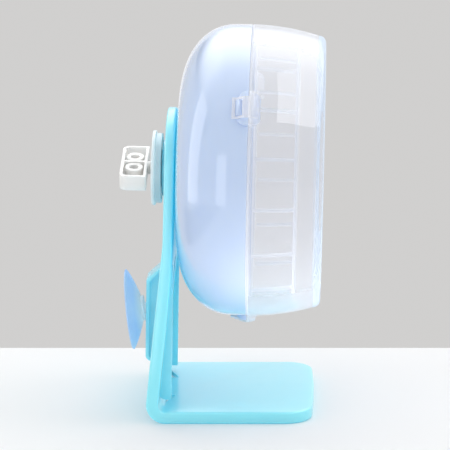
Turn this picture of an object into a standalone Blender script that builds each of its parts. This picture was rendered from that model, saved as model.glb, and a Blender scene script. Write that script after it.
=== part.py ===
# Rodent exercise wheel: a snap-together drum on a ball bearing, carried by an
# L-shaped moulded stand with a suction cup and a thumb screw clamp.
# Metres, +Z up. +X is the open, clear side of the drum.

import bpy
import bmesh
from math import asin, atan2, cos, degrees, pi, radians, sin, sqrt, tan
from mathutils import Matrix, Vector

# Whole object
AXLE_HEIGHT = 0.1138            # axle above the ground, at the seam of the drum
LEAN = radians(1.4)             # drum, stand head and ribs lean forward by this much
SEAT_GAP = 0.0003               # between pieces that rest on each other
FIT_GAP = 0.0002                # round the bearing and its seats
RUNNING_GAP = 0.0010            # between the turning drum and what stands still
OVERRUN = 0.004                 # how far a cutter runs past what it cuts
MERGE_DISTANCE = 0.000001       # points closer than this are one
ROUND_STEPS = 54                # facets round the drum
MIDDLE_STEPS = 28               # facets round the disc, cup and hub cap
SMALL_STEPS = 20                # facets round bearing, spindle and screw grip
SCREW_STEPS = 10                # facets round small screws and their holes

# Drum, measured along the axle from the seam between its two shells
DRUM_RADIUS = 0.070
REAR_DEPTH = 0.0345
REAR_STRAIGHT = 0.007
REAR_FLAT_RADIUS = 0.032
REAR_CURVE_POWER = 2.2
REAR_CURVE_PARTS = 6
REAR_WALL = 0.0020
SPIGOT_LENGTH = 0.0020          # of the clear cover, inside the rear shell's rim
SPIGOT_WALL = 0.0010
SPIGOT_ROOT = 0.0018
FRONT_DEPTH = 0.0350
FRONT_WALL = 0.0027
COVER_WALL = 0.0018
COVER_BOW_RADIUS = 0.109
COVER_BOW_PARTS = 3
COVER_CORNER = 0.0035
OPENING_RADIUS = 0.046
OPENING_LIP = 0.0016

# Treads on the inner wall of the clear cover
TREAD_COUNT = 18
TREAD_PHASE = radians(14.6)
TREAD_START = 0.0026
TREAD_END = 0.0220
TREAD_HEIGHT = 0.0016
TREAD_WIDTH = 0.0015
TREAD_RING_WIDTH = 0.0012

# Snap latches across the seam
LATCH_COUNT = 3
LATCH_PHASE = radians(235.4)
LATCH_PAD_WIDTH = 0.0168
LATCH_PAD_REAR = 0.0058
LATCH_PAD_FRONT = 0.0056
LATCH_PAD_ROUND = 0.0046
LATCH_PAD_HEIGHT = 0.0021
LATCH_PAD_BOW = 0.0070          # radius of the pads' top across the seam
LATCH_BOW_PARTS = 4
TONGUE_WIDTH = 0.0104
TONGUE_THICKNESS = 0.0010
TONGUE_REACH = 0.0079
TONGUE_ROOT = 0.0040
WINDOW_WIDTH = 0.0086
WINDOW_LENGTH = 0.0032
WINDOW_RIM = 0.0016
CATCH_HEIGHT = 0.0021
CATCH_LAND = 0.0008
CATCH_CLEARANCE = 0.0003

# Hub and ball bearing
HUB_RADIUS = 0.0185
HUB_LENGTH = 0.0090
HUB_FLOOR = 0.0030
BEARING_RADIUS = 0.0110
BEARING_BORE = 0.0040
BEARING_WIDTH = 0.0070
BALL_COUNT = 7
BALL_RADIUS = 0.00195
BALL_CIRCLE = 0.0075
RACE_LAND = 0.0014
GROOVE_PARTS = 3
CAGE_WALL = 0.0006
CAGE_HALF_WIDTH = 0.0027
SHIELD_THICKNESS = 0.0003

# Spindle, its screw and washer
SPINDLE_REAR_RADIUS = 0.0050
SPINDLE_COLLAR_RADIUS = 0.0070
SPINDLE_THREAD_DEPTH = 0.0075
AXLE_SCREW_RADIUS = 0.0014
AXLE_SCREW_HEAD_RADIUS = 0.0029
AXLE_SCREW_HEAD = 0.0020
AXLE_SCREW_REACH = 0.0045
WASHER_RADIUS = 0.0058
WASHER_THICKNESS = 0.0010

# Hub cap and its three screws
CAP_THICKNESS = 0.0020
CAP_SKIRT = 0.0016
CAP_SKIRT_WALL = 0.0015
CAP_DOME_RADIUS = 0.0092
CAP_DOME_HEIGHT = 0.0053
CAP_DOME_WALL = 0.0016
CAP_SCREW_COUNT = 3
CAP_SCREW_PHASE = radians(54)
CAP_SCREW_CIRCLE = 0.0148
CAP_SCREW_RADIUS = 0.0010
CAP_SCREW_HEAD_RADIUS = 0.0023
CAP_SCREW_HEAD = 0.0014
CAP_SCREW_REACH = 0.0060

# Stand: head, legs and base in one L-shaped open-backed moulding
HEAD_RADIUS = 0.0295
HEAD_THICKNESS = 0.0046
BEND_DROP = 0.0293              # bend of the back, below the axle
LEG_LEAN = radians(6.2)
LEG_THICKNESS = 0.0058
BASE_WIDTH = 0.0920
BASE_FRONT = 0.0309             # base reaches this far in front of the seam
BASE_CORNER = 0.0130
BASE_BOW = 0.0015
BASE_BOW_ROUND = 0.600
FLARE_HEIGHT = 0.0240           # legs reach the full width this high up
FLARE_ROUND = 0.030
BEND_ROUND = 0.030
ROOT_ROUND = 0.0090             # outer rounding where the leg turns into the base
STAND_SKIN = 0.0022
STAND_RIM = 0.0022
STAND_EDGE_ROUND = 0.0012
BOSS_RADIUS = 0.0135
BOSS_PROUD = 0.0020
RIB_SPREAD = 0.0310
RIB_THICKNESS = 0.0018
RIB_PROUD = 0.0005              # ribs stand this far in front of the head
RIB_FOOT_GAP = 0.0023
RIB_FOOT_ROUND = 0.0040
RIB_TOP_DROP = 0.0400
ROOT_WINDOW_INNER = 0.0157
ROOT_WINDOW_OUTER = 0.0284
ROOT_WINDOW_FRONT = 0.0363
ROOT_WINDOW_BACK = 0.0406

# Suction cup bracket on the back of the legs
BRACKET_BACK = 0.0490           # behind the seam
BRACKET_RISE = 0.0155           # shoulder above the suction cup
BRACKET_FOOT_SHARE = 0.372      # foot this far up from the base to the suction cup
BRACKET_FOOT_ROUND_SHARE = 0.852                # of the bracket's depth there
BRACKET_WIDTH = 0.0160
BRACKET_WALL = 0.0017
BRACKET_SIDE_RECESS = 0.0014
BRACKET_SIDE_WALL = 0.0012
CUP_DROP = 0.0682               # suction cup below the axle
KEYHOLE_ENTRY_RISE = 0.0082
CUP_NECK_CLEARANCE = 0.0006

# Suction cup
CUP_RADIUS = 0.0195
CUP_REACH = 0.0086
CUP_COLLAR_RADIUS = 0.0062
CUP_COLLAR_LENGTH = 0.0012
CUP_NECK_RADIUS = 0.0027
CUP_HEAD_RADIUS = 0.0047
CUP_HEAD_LENGTH = 0.0020
CUP_DEPTH = 0.0050
CUP_LIP = 0.0005
CUP_TILT = radians(7.5)          # droops this much in its keyhole

# Clamp disc and thumb screw
DISC_RADIUS = 0.0180
DISC_FLANGE = 0.0018
DISC_EDGE_ROUND = 0.0003
DISC_DRUM_RADIUS = 0.01685
DISC_DRUM_DEPTH = 0.0029
DISC_REAR = 0.0470              # behind the seam
DISC_WALL = 0.00155
DISC_FLOOR = 0.0018
DISC_HUB_RADIUS = 0.0090
GRIP_LENGTH = 0.0328
GRIP_WIDTH = 0.01285
GRIP_THICKNESS = 0.0076
GRIP_DROP = 0.0004              # middle of the grip below the screw's axis
GRIP_STANDOFF = 0.00225
GRIP_ROUND = 0.0034
GRIP_INNER_ROUND = 0.0008
GRIP_WALL = 0.0015
GRIP_POCKET = 0.0050
GRIP_WEB = 0.0016
GRIP_TUBE_OFFSET = 0.0055
GRIP_TUBE_RADIUS = 0.0043
GRIP_TUBE_BORE = 0.0021
GRIP_TURN = radians(15.7)
SCREW_NECK_RADIUS = 0.0032
SCREW_SHANK_RADIUS = 0.0024
SCREW_SHANK_REACH = 0.0118
SCREW_CLEARANCE = 0.0004

# Places that follow from the sizes above
REAR_FACE = -REAR_DEPTH
HEAD_FRONT = REAR_FACE - RUNNING_GAP
HEAD_BACK = HEAD_FRONT - HEAD_THICKNESS
BOSS_BACK = HEAD_BACK - BOSS_PROUD
BEARING_REAR = REAR_FACE + HUB_FLOOR + SEAT_GAP
BEARING_FRONT = BEARING_REAR + BEARING_WIDTH
BEARING_MIDDLE = (BEARING_REAR + BEARING_FRONT) / 2
HUB_FRONT = REAR_FACE + REAR_WALL + HUB_LENGTH + SEAT_GAP
HALF_BASE = BASE_WIDTH / 2
GRIP_REAR = DISC_REAR + GRIP_STANDOFF + GRIP_WIDTH
CORNER_AXIAL = FRONT_DEPTH - COVER_CORNER
CORNER_RADIAL = DRUM_RADIUS - COVER_BOW_RADIUS + sqrt(COVER_BOW_RADIUS ** 2 - CORNER_AXIAL ** 2) - COVER_CORNER
GRIP_LOW = (GRIP_LENGTH / 2 - GRIP_ROUND) * sin(GRIP_TURN) + (GRIP_THICKNESS / 2 + GRIP_DROP) * cos(GRIP_TURN)
FRONT_REACH = CORNER_AXIAL * cos(LEAN) + CORNER_RADIAL * sin(LEAN) + COVER_CORNER
REAR_REACH = GRIP_REAR * cos(LEAN) + GRIP_LOW * sin(LEAN)
SEAM_X = (REAR_REACH - FRONT_REACH) / 2         # the origin is midway between front and rear

part_collection = None
tool_collection = None


# Scene and materials

def start_scene():
    global part_collection, tool_collection
    for leftover in list(bpy.data.objects):
        bpy.data.objects.remove(leftover, do_unlink=True)
    part_collection = bpy.data.collections.new("rodent_exercise_wheel")
    tool_collection = bpy.data.collections.new("cutters")
    bpy.context.scene.collection.children.link(part_collection)
    bpy.context.scene.collection.children.link(tool_collection)


def plastic(name, colour, roughness, metallic=0.0, transmission=0.0):
    material = bpy.data.materials.new(name)
    material.use_nodes = True
    shader = material.node_tree.nodes["Principled BSDF"]
    shader.inputs["Base Color"].default_value = (*colour, 1.0)
    shader.inputs["Roughness"].default_value = roughness
    shader.inputs["Metallic"].default_value = metallic
    shader.inputs["Transmission Weight"].default_value = transmission
    material.diffuse_color = (*colour, 1.0)
    return material


# Outlines

def arc(centre, radius, start, end, parts):
    """Points on a circle from one angle to another, ends included."""
    step = (end - start) / parts
    return [(centre[0] + radius * cos(start + step * k), centre[1] + radius * sin(start + step * k))
            for k in range(parts + 1)]


def rounded(corners, arc_step=radians(15)):
    """A closed outline from (x, y, radius) corners, each turned into an arc of its radius."""
    points = []
    for index, (x, y, radius) in enumerate(corners):
        here = Vector((x, y))
        before = Vector(corners[index - 1][:2]) - here
        after = Vector(corners[(index + 1) % len(corners)][:2]) - here
        turn = pi - before.angle(after)
        if radius == 0 or turn < radians(0.05):
            points.append((x, y))
            continue
        reach = radius * tan(turn / 2)
        begin = here + before.normalized() * reach
        finish = here + after.normalized() * reach
        middle = here + (before.normalized() + after.normalized()).normalized() * (radius / cos(turn / 2))
        parts = max(2, round(turn / arc_step))
        from_angle = atan2(*(begin - middle).yx)
        sweep = (atan2(*(finish - middle).yx) - from_angle + pi) % (2 * pi) - pi
        points += arc(middle, radius, from_angle, from_angle + sweep, parts)
    return points


def rectangle(left, low, right, high, radius=0.0):
    return rounded([(left, low, radius), (right, low, radius), (right, high, radius), (left, high, radius)])


# Solids

def finish(obj, material, parent=None, place=None, smooth_angle=radians(35)):
    """Put a piece in the part collection with its material, parent and place."""
    obj.data.materials.clear()
    obj.data.materials.append(material)
    obj.data.shade_smooth()
    obj.data.set_sharp_from_angle(angle=smooth_angle)
    if parent is not None:
        obj.parent = parent
    if place is not None:
        obj.matrix_local = place
    return obj


def new_object(name, mesh):
    obj = bpy.data.objects.new(name, mesh)
    part_collection.objects.link(obj)
    return obj


def turned(name, profile, steps=SMALL_STEPS, ring=True):
    """Turn a (radius, height) profile round Z. A ring's profile closes on itself."""
    mesh = bpy.data.meshes.new(name)
    shape = bmesh.new()
    points = [shape.verts.new((radius, 0, height)) for radius, height in profile]
    for first, second in zip(points, points[1:] + (points[:1] if ring else [])):
        shape.edges.new((first, second))
    shape.to_mesh(mesh)
    shape.free()
    obj = new_object(name, mesh)
    screw = obj.modifiers.new("turn", 'SCREW')
    screw.steps = steps
    screw.render_steps = steps
    screw.use_merge_vertices = True
    screw.merge_threshold = MERGE_DISTANCE
    return bake(obj)


def slab(name, outline, low, high, frame=None):
    """A flat outline made as thick as low to high along Z, then placed by a frame."""
    curve = bpy.data.curves.new(name, 'CURVE')
    curve.dimensions = '2D'
    curve.fill_mode = 'BOTH'
    curve.extrude = (high - low) / 2
    spline = curve.splines.new('POLY')
    spline.points.add(len(outline) - 1)
    for point, (x, y) in zip(spline.points, outline):
        point.co = (x, y, 0, 1)
    spline.use_cyclic_u = True
    drawn = new_object(name + "_outline", curve)
    mesh = bpy.data.meshes.new_from_object(drawn.evaluated_get(bpy.context.evaluated_depsgraph_get()))
    mesh.transform(Matrix.Translation((0, 0, (low + high) / 2)))
    if frame is not None:
        mesh.transform(frame)
    bpy.data.objects.remove(drawn, do_unlink=True)
    close_mesh(mesh)
    return new_object(name, mesh)


def rod(name, radius, low, high, frame=None, steps=SMALL_STEPS):
    """A plain round rod or cutter along Z."""
    mesh = bpy.data.meshes.new(name)
    shape = bmesh.new()
    place = Matrix.Translation((0, 0, (low + high) / 2))
    bmesh.ops.create_cone(shape, cap_ends=True, segments=steps, radius1=radius, radius2=radius,
                          depth=high - low, matrix=place if frame is None else frame @ place)
    shape.to_mesh(mesh)
    shape.free()
    return new_object(name, mesh)


def close_mesh(mesh):
    shape = bmesh.new()
    shape.from_mesh(mesh)
    bmesh.ops.remove_doubles(shape, verts=shape.verts, dist=MERGE_DISTANCE)
    bmesh.ops.recalc_face_normals(shape, faces=shape.faces)
    shape.to_mesh(mesh)
    shape.free()


def bake(obj):
    """Replace an object's mesh by what its modifiers make of it."""
    mesh = bpy.data.meshes.new_from_object(obj.evaluated_get(bpy.context.evaluated_depsgraph_get()))
    obj.modifiers.clear()
    obj.data = mesh
    return obj


def pattern(obj, angles):
    """Copies of a shape turned round Z to each angle, as one mesh."""
    shape = bmesh.new()
    for angle in angles:
        copy = obj.data.copy()
        copy.transform(Matrix.Rotation(angle, 4, 'Z'))
        shape.from_mesh(copy)
        bpy.data.meshes.remove(copy)
    shape.to_mesh(obj.data)
    shape.free()
    return obj


def evenly(count, phase):
    return [phase + 2 * pi * k / count for k in range(count)]


def combine(body, tool, operation):
    """Cut, join or intersect a body with a tool, which moves to the cutters."""
    part_collection.objects.unlink(tool)
    tool_collection.objects.link(tool)
    tool.hide_render = True
    tool.display_type = 'WIRE'
    tool.parent = body.parent
    modifier = body.modifiers.new(tool.name, 'BOOLEAN')
    modifier.operation = operation
    modifier.solver = 'EXACT'
    modifier.object = tool


def cut(body, *tools):
    for tool in tools:
        combine(body, tool, 'DIFFERENCE')


def join(body, *tools):
    for tool in tools:
        combine(body, tool, 'UNION')


def keep_common(body, *tools):
    for tool in tools:
        combine(body, tool, 'INTERSECT')


# Frames that slabs are drawn in

SIDE_VIEW = Matrix(((1, 0, 0, 0), (0, 0, -1, 0), (0, 1, 0, 0), (0, 0, 0, 1)))      # x, z -> X, Z
FRONT_VIEW = Matrix(((0, 0, 1, 0), (1, 0, 0, 0), (0, 1, 0, 0), (0, 0, 0, 1)))      # x, y -> Y, Z
TREAD_VIEW = Matrix(((1, 0, 0, 0), (0, 0, -1, 0), (0, 1, 0, 0), (0, 0, 0, 1)))     # radius, axial
SURFACE_VIEW = Matrix(((0, 0, 1, 0), (1, 0, 0, 0), (0, 1, 0, 0), (0, 0, 0, 1)))    # around, axial


# Drum

def bow(axial):
    """Outer radius of the clear cover, which bows gently towards its front."""
    return DRUM_RADIUS - COVER_BOW_RADIUS + sqrt(COVER_BOW_RADIUS ** 2 - axial ** 2)


def rear_curve(wall):
    """Rounded back of the rear shell, from its straight side to its flat face."""
    width = DRUM_RADIUS - REAR_FLAT_RADIUS - wall
    depth = REAR_DEPTH - REAR_STRAIGHT - wall
    power = 2 / REAR_CURVE_POWER
    points = []
    for k in range(REAR_CURVE_PARTS + 1):
        angle = pi / 2 * k / REAR_CURVE_PARTS
        points.append((REAR_FLAT_RADIUS + width * max(cos(angle), 0) ** power,
                       -REAR_STRAIGHT - depth * max(sin(angle), 0) ** power))
    return points


def latch_centre():
    return DRUM_RADIUS + LATCH_PAD_HEIGHT - LATCH_PAD_BOW


def latch_arc(radius, start, end, parts):
    """Points across the seam on the bow of the latch pads, as (radius, axial)."""
    first = asin(start / radius)
    step = (asin(end / radius) - first) / parts
    return [(latch_centre() + radius * cos(first + step * k), radius * sin(first + step * k))
            for k in range(parts + 1)]


def latch_reach(radius, height):
    """How far from the seam a bow comes down to a height."""
    return sqrt(radius ** 2 - (height - latch_centre()) ** 2)


def latch_pad(name, inside, start, end):
    """Half of the bowed, round-ended pad across the seam, from start to end along the axle."""
    side = 1 if end > 0 else -1
    half = LATCH_PAD_WIDTH / 2
    foot = side * latch_reach(LATCH_PAD_BOW, inside)
    pad = slab(name, [(inside, start)] + latch_arc(LATCH_PAD_BOW, start, foot, LATCH_BOW_PARTS), -half, half, TREAD_VIEW)
    plan = rounded([(-half, start, 0), (-half, end, LATCH_PAD_ROUND),
                    (half, end, LATCH_PAD_ROUND), (half, start, 0)], radians(30))
    keep_common(pad, slab(name + "_plan", plan, inside - OVERRUN, DRUM_RADIUS + OVERRUN, SURFACE_VIEW))
    bake(pad)
    close_mesh(pad.data)
    return pad


def rear_shell(material, axle):
    spindle_hole = SPINDLE_COLLAR_RADIUS + RUNNING_GAP
    seat = BEARING_RADIUS + FIT_GAP
    floor = REAR_FACE + HUB_FLOOR
    inner_wall = REAR_FACE + REAR_WALL
    profile = [(DRUM_RADIUS, -SEAT_GAP)]
    profile += rear_curve(0)
    profile += [(spindle_hole, REAR_FACE), (spindle_hole, floor), (seat, floor), (seat, HUB_FRONT),
                (HUB_RADIUS, HUB_FRONT), (HUB_RADIUS, inner_wall)]
    profile += reversed(rear_curve(REAR_WALL))
    profile += [(DRUM_RADIUS - REAR_WALL, -SEAT_GAP)]
    shell = turned("rear_shell", profile, ROUND_STEPS)
    finish(shell, material, axle)

    wall_middle = DRUM_RADIUS - REAR_WALL * 0.7
    pads = latch_pad("latch_pads_rear", wall_middle, -SEAT_GAP, -LATCH_PAD_REAR)
    catch_front = -TONGUE_REACH + WINDOW_RIM + WINDOW_LENGTH - CATCH_CLEARANCE
    catch_rear = -TONGUE_REACH + WINDOW_RIM + CATCH_CLEARANCE
    catch_top = DRUM_RADIUS + CATCH_HEIGHT
    ramp_foot = latch_arc(LATCH_PAD_BOW, catch_front, catch_front, 1)[0][0] + CATCH_CLEARANCE / 2
    catch_outline = [(wall_middle, catch_front), (wall_middle, catch_rear), (catch_top, catch_rear),
                     (catch_top, catch_rear + CATCH_LAND), (ramp_foot, catch_front)]
    catch_half = WINDOW_WIDTH / 2 - CATCH_CLEARANCE
    catches = slab("latch_catches", catch_outline, -catch_half, catch_half, TREAD_VIEW)
    latch_angles = evenly(LATCH_COUNT, LATCH_PHASE)
    join(shell, pattern(pads, latch_angles), pattern(catches, latch_angles))

    screw_angles = evenly(CAP_SCREW_COUNT, CAP_SCREW_PHASE)
    hole = rod("hub_screw_holes", CAP_SCREW_RADIUS + FIT_GAP, HUB_FRONT - CAP_SCREW_REACH - SEAT_GAP,
               HUB_FRONT + OVERRUN, Matrix.Translation((CAP_SCREW_CIRCLE, 0, 0)), SCREW_STEPS)
    cut(shell, pattern(hole, screw_angles))
    return shell


def front_cover(material, axle):
    edge = CORNER_RADIAL + COVER_CORNER
    inner_front = FRONT_DEPTH - FRONT_WALL
    profile = [(OPENING_RADIUS, inner_front + FRONT_WALL / 2), (OPENING_RADIUS + FRONT_WALL / 4, FRONT_DEPTH)]
    profile += arc((CORNER_RADIAL, CORNER_AXIAL), COVER_CORNER, pi / 2, 0, 3)
    heights = [CORNER_AXIAL * k / COVER_BOW_PARTS for k in range(COVER_BOW_PARTS + 1)]
    profile += [(bow(height), height) for height in reversed(heights[:-1])]
    ring_start = TREAD_END - TREAD_RING_WIDTH / 2
    ring_end = TREAD_END + TREAD_RING_WIDTH / 2
    spigot_outer = DRUM_RADIUS - REAR_WALL - SEAT_GAP
    spigot_inner = spigot_outer - SPIGOT_WALL
    inside = [(spigot_outer, 0), (spigot_outer, -SPIGOT_LENGTH), (spigot_inner, -SPIGOT_LENGTH),
              (spigot_inner, SPIGOT_ROOT), (bow(SPIGOT_ROOT) - COVER_WALL, SPIGOT_ROOT)]
    inside += [(bow(height) - COVER_WALL, height) for height in heights
               if SPIGOT_ROOT < height < ring_start - TREAD_RING_WIDTH]
    inside += [(bow(ring_start) - COVER_WALL, ring_start),
               (bow(ring_start) - COVER_WALL - TREAD_HEIGHT, ring_start),
               (bow(ring_end) - COVER_WALL - TREAD_HEIGHT, ring_end),
               (bow(ring_end) - COVER_WALL, ring_end)]
    inside += [(bow(height) - COVER_WALL, height) for height in heights
               if ring_end + TREAD_RING_WIDTH < height < inner_front]
    inside += [(edge - COVER_WALL - FRONT_WALL / 2, inner_front),
               (OPENING_RADIUS + OPENING_LIP, inner_front),
               (OPENING_RADIUS, inner_front - OPENING_LIP)]
    cover = turned("front_cover", profile + inside, ROUND_STEPS)
    finish(cover, material, axle)

    tread_parts = 2
    spots = [TREAD_START + (TREAD_END - TREAD_START) * k / tread_parts for k in range(tread_parts + 1)]
    tread_outline = [(bow(spot) - COVER_WALL - TREAD_HEIGHT, spot) for spot in spots]
    tread_outline += [(bow(spot) - COVER_WALL / 2, spot) for spot in reversed(spots)]
    treads = slab("treads", tread_outline, -TREAD_WIDTH / 2, TREAD_WIDTH / 2, TREAD_VIEW)
    join(cover, pattern(treads, evenly(TREAD_COUNT, TREAD_PHASE)))

    latch_angles = evenly(LATCH_COUNT, LATCH_PHASE)
    wall_middle = DRUM_RADIUS - COVER_WALL * 0.6
    pads = latch_pad("latch_pads_front", wall_middle, 0, LATCH_PAD_FRONT)
    inner_bow = LATCH_PAD_BOW + SEAT_GAP
    outer_bow = inner_bow + TONGUE_THICKNESS
    tongue_low = DRUM_RADIUS + SEAT_GAP
    tongue_top = tongue_low + TONGUE_THICKNESS
    root = DRUM_RADIUS + LATCH_PAD_HEIGHT / 4
    tongue_outline = [(root, TONGUE_ROOT)]
    tongue_outline += [(root, SEAT_GAP)] + latch_arc(inner_bow, SEAT_GAP, -latch_reach(inner_bow, tongue_low), LATCH_BOW_PARTS)
    tongue_outline += [(tongue_low, -TONGUE_REACH), (tongue_top, -TONGUE_REACH)]
    tongue_outline += latch_arc(outer_bow, -latch_reach(outer_bow, tongue_top), TONGUE_ROOT, LATCH_BOW_PARTS + 1)
    tongues = slab("latch_tongues", tongue_outline, -TONGUE_WIDTH / 2, TONGUE_WIDTH / 2, TREAD_VIEW)
    window_rear = -TONGUE_REACH + WINDOW_RIM
    window_outline = rectangle(-WINDOW_WIDTH / 2, window_rear, WINDOW_WIDTH / 2, window_rear + WINDOW_LENGTH)
    windows = slab("latch_windows", window_outline, DRUM_RADIUS, DRUM_RADIUS + OVERRUN, SURFACE_VIEW)
    join(cover, pattern(pads, latch_angles), pattern(tongues, latch_angles))
    cut(cover, pattern(windows, latch_angles))
    return cover


# Bearing

def groove(land):
    """The ball track in a race, as points between its two lands."""
    track = BALL_RADIUS + FIT_GAP
    side = 1 if land > BALL_CIRCLE else -1
    reach = asin(abs(land - BALL_CIRCLE) / track)
    start = pi / 2 - reach
    return [(BALL_CIRCLE + side * track * cos(start - 2 * start * k / GROOVE_PARTS),
             BEARING_MIDDLE + track * sin(start - 2 * start * k / GROOVE_PARTS))
            for k in range(GROOVE_PARTS + 1)]


def bearing(steel, brass, axle, cage_axle):
    inner_land = BALL_CIRCLE - RACE_LAND
    outer_land = BALL_CIRCLE + RACE_LAND
    inner = turned("bearing_inner_race",
                   [(inner_land, BEARING_FRONT)] + groove(inner_land)
                   + [(inner_land, BEARING_REAR), (BEARING_BORE, BEARING_REAR), (BEARING_BORE, BEARING_FRONT)])
    finish(inner, steel, axle)
    outer = turned("bearing_outer_race",
                   [(BEARING_RADIUS, BEARING_FRONT), (BEARING_RADIUS, BEARING_REAR), (outer_land, BEARING_REAR)]
                   + list(reversed(groove(outer_land))) + [(outer_land, BEARING_FRONT)])
    finish(outer, steel, axle)

    half_wall = CAGE_WALL / 2
    cage = turned("ball_cage", [(BALL_CIRCLE + half_wall, BEARING_MIDDLE + CAGE_HALF_WIDTH),
                                (BALL_CIRCLE + half_wall, BEARING_MIDDLE - CAGE_HALF_WIDTH),
                                (BALL_CIRCLE - half_wall, BEARING_MIDDLE - CAGE_HALF_WIDTH),
                                (BALL_CIRCLE - half_wall, BEARING_MIDDLE + CAGE_HALF_WIDTH)])
    finish(cage, brass, cage_axle)
    across = Matrix.Translation((BALL_CIRCLE, 0, BEARING_MIDDLE)) @ Matrix.Rotation(pi / 2, 4, 'Y')
    pockets = rod("cage_pockets", BALL_RADIUS + FIT_GAP, -OVERRUN / 2, OVERRUN / 2, across, SCREW_STEPS)
    cut(cage, pattern(pockets, evenly(BALL_COUNT, 0)))

    for number, angle in enumerate(evenly(BALL_COUNT, 0), 1):
        mesh = bpy.data.meshes.new("ball")
        shape = bmesh.new()
        bmesh.ops.create_uvsphere(shape, u_segments=8, v_segments=6, radius=BALL_RADIUS)
        shape.to_mesh(mesh)
        shape.free()
        ball = new_object(f"bearing_ball_{number}", mesh)
        spot = Vector((BALL_CIRCLE * cos(angle), BALL_CIRCLE * sin(angle), BEARING_MIDDLE))
        finish(ball, steel, cage_axle, Matrix.Translation(spot))

    shield_inner = inner_land + RUNNING_GAP / 3
    shield_outer = outer_land - FIT_GAP
    for name, low in (("bearing_shield_rear", BEARING_REAR + FIT_GAP),
                      ("bearing_shield_front", BEARING_FRONT - FIT_GAP - SHIELD_THICKNESS)):
        shield = turned(name, [(shield_outer, low + SHIELD_THICKNESS), (shield_outer, low),
                               (shield_inner, low), (shield_inner, low + SHIELD_THICKNESS)])
        finish(shield, steel, axle)


# Spindle and hub cap

def spindle(white, steel, axle):
    collar_rear = HEAD_FRONT + SEAT_GAP
    collar_front = BEARING_REAR - SEAT_GAP
    journal = BEARING_BORE - FIT_GAP
    journal_front = BEARING_FRONT - SEAT_GAP
    rear_end = BOSS_BACK + SEAT_GAP
    thread = SCREW_SHANK_RADIUS + SCREW_CLEARANCE
    tapped = AXLE_SCREW_RADIUS + FIT_GAP
    hole_end = journal_front - AXLE_SCREW_REACH - SEAT_GAP
    body = turned("axle_spindle",
                  [(0, hole_end), (tapped, hole_end), (tapped, journal_front), (journal, journal_front),
                   (journal, collar_front), (SPINDLE_COLLAR_RADIUS, collar_front),
                   (SPINDLE_COLLAR_RADIUS, collar_rear), (SPINDLE_REAR_RADIUS, collar_rear),
                   (SPINDLE_REAR_RADIUS, rear_end), (thread, rear_end),
                   (thread, rear_end + SPINDLE_THREAD_DEPTH), (0, rear_end + SPINDLE_THREAD_DEPTH)],
                  ring=False)
    finish(body, white, axle)

    washer_low = BEARING_FRONT + SEAT_GAP
    washer_top = washer_low + WASHER_THICKNESS
    washer = turned("axle_washer", [(WASHER_RADIUS, washer_top), (WASHER_RADIUS, washer_low),
                                    (tapped, washer_low), (tapped, washer_top)])
    finish(washer, steel, axle)

    head_low = washer_top + SEAT_GAP
    head_top = head_low + AXLE_SCREW_HEAD
    screw = turned("axle_screw",
                   [(0, head_top), (AXLE_SCREW_HEAD_RADIUS * 0.7, head_top),
                    (AXLE_SCREW_HEAD_RADIUS, head_top - AXLE_SCREW_HEAD / 3), (AXLE_SCREW_HEAD_RADIUS, head_low),
                    (AXLE_SCREW_RADIUS, head_low), (AXLE_SCREW_RADIUS, journal_front - AXLE_SCREW_REACH),
                    (0, journal_front - AXLE_SCREW_REACH)], ring=False)
    finish(screw, steel, axle)


def hub_cap(material, steel, axle):
    low = HUB_FRONT + SEAT_GAP
    top = low + CAP_THICKNESS
    skirt_low = BEARING_FRONT + SEAT_GAP
    skirt_outer = BEARING_RADIUS - FIT_GAP
    skirt_inner = skirt_outer - CAP_SKIRT_WALL
    dome_inner = CAP_DOME_RADIUS - CAP_DOME_WALL
    dome_top = top + CAP_DOME_HEIGHT
    dome_flat = CAP_DOME_RADIUS * 0.6
    cap = turned("hub_cap",
                 [(0, dome_top), (dome_flat, dome_top), (CAP_DOME_RADIUS * 0.9, dome_top - CAP_DOME_WALL * 0.6),
                  (CAP_DOME_RADIUS, dome_top - CAP_DOME_WALL * 1.5), (CAP_DOME_RADIUS, top),
                  (HUB_RADIUS - CAP_THICKNESS / 2, top), (HUB_RADIUS, top - CAP_THICKNESS / 2), (HUB_RADIUS, low),
                  (skirt_outer, low), (skirt_outer, skirt_low), (skirt_inner, skirt_low), (skirt_inner, low),
                  (dome_inner, low), (dome_inner, dome_top - CAP_DOME_WALL * 1.7),
                  (dome_flat * 0.9, dome_top - CAP_DOME_WALL), (0, dome_top - CAP_DOME_WALL)],
                 MIDDLE_STEPS, ring=False)
    finish(cap, material, axle)
    angles = evenly(CAP_SCREW_COUNT, CAP_SCREW_PHASE)
    hole = rod("cap_screw_holes", CAP_SCREW_RADIUS + FIT_GAP, low - OVERRUN, top + OVERRUN,
               Matrix.Translation((CAP_SCREW_CIRCLE, 0, 0)), SCREW_STEPS)
    cut(cap, pattern(hole, angles))

    head_low = top + SEAT_GAP
    head_top = head_low + CAP_SCREW_HEAD
    for number, angle in enumerate(angles, 1):
        screw = turned(f"cap_screw_{number}",
                       [(0, head_top), (CAP_SCREW_HEAD_RADIUS * 0.7, head_top),
                        (CAP_SCREW_HEAD_RADIUS, head_top - CAP_SCREW_HEAD / 2), (CAP_SCREW_HEAD_RADIUS, head_low),
                        (CAP_SCREW_RADIUS, head_low), (CAP_SCREW_RADIUS, HUB_FRONT - CAP_SCREW_REACH),
                        (0, HUB_FRONT - CAP_SCREW_REACH)], SCREW_STEPS, ring=False)
        spot = Vector((CAP_SCREW_CIRCLE * cos(angle), CAP_SCREW_CIRCLE * sin(angle), 0))
        finish(screw, steel, axle, Matrix.Translation(spot))


# Clamp disc and thumb screw

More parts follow.
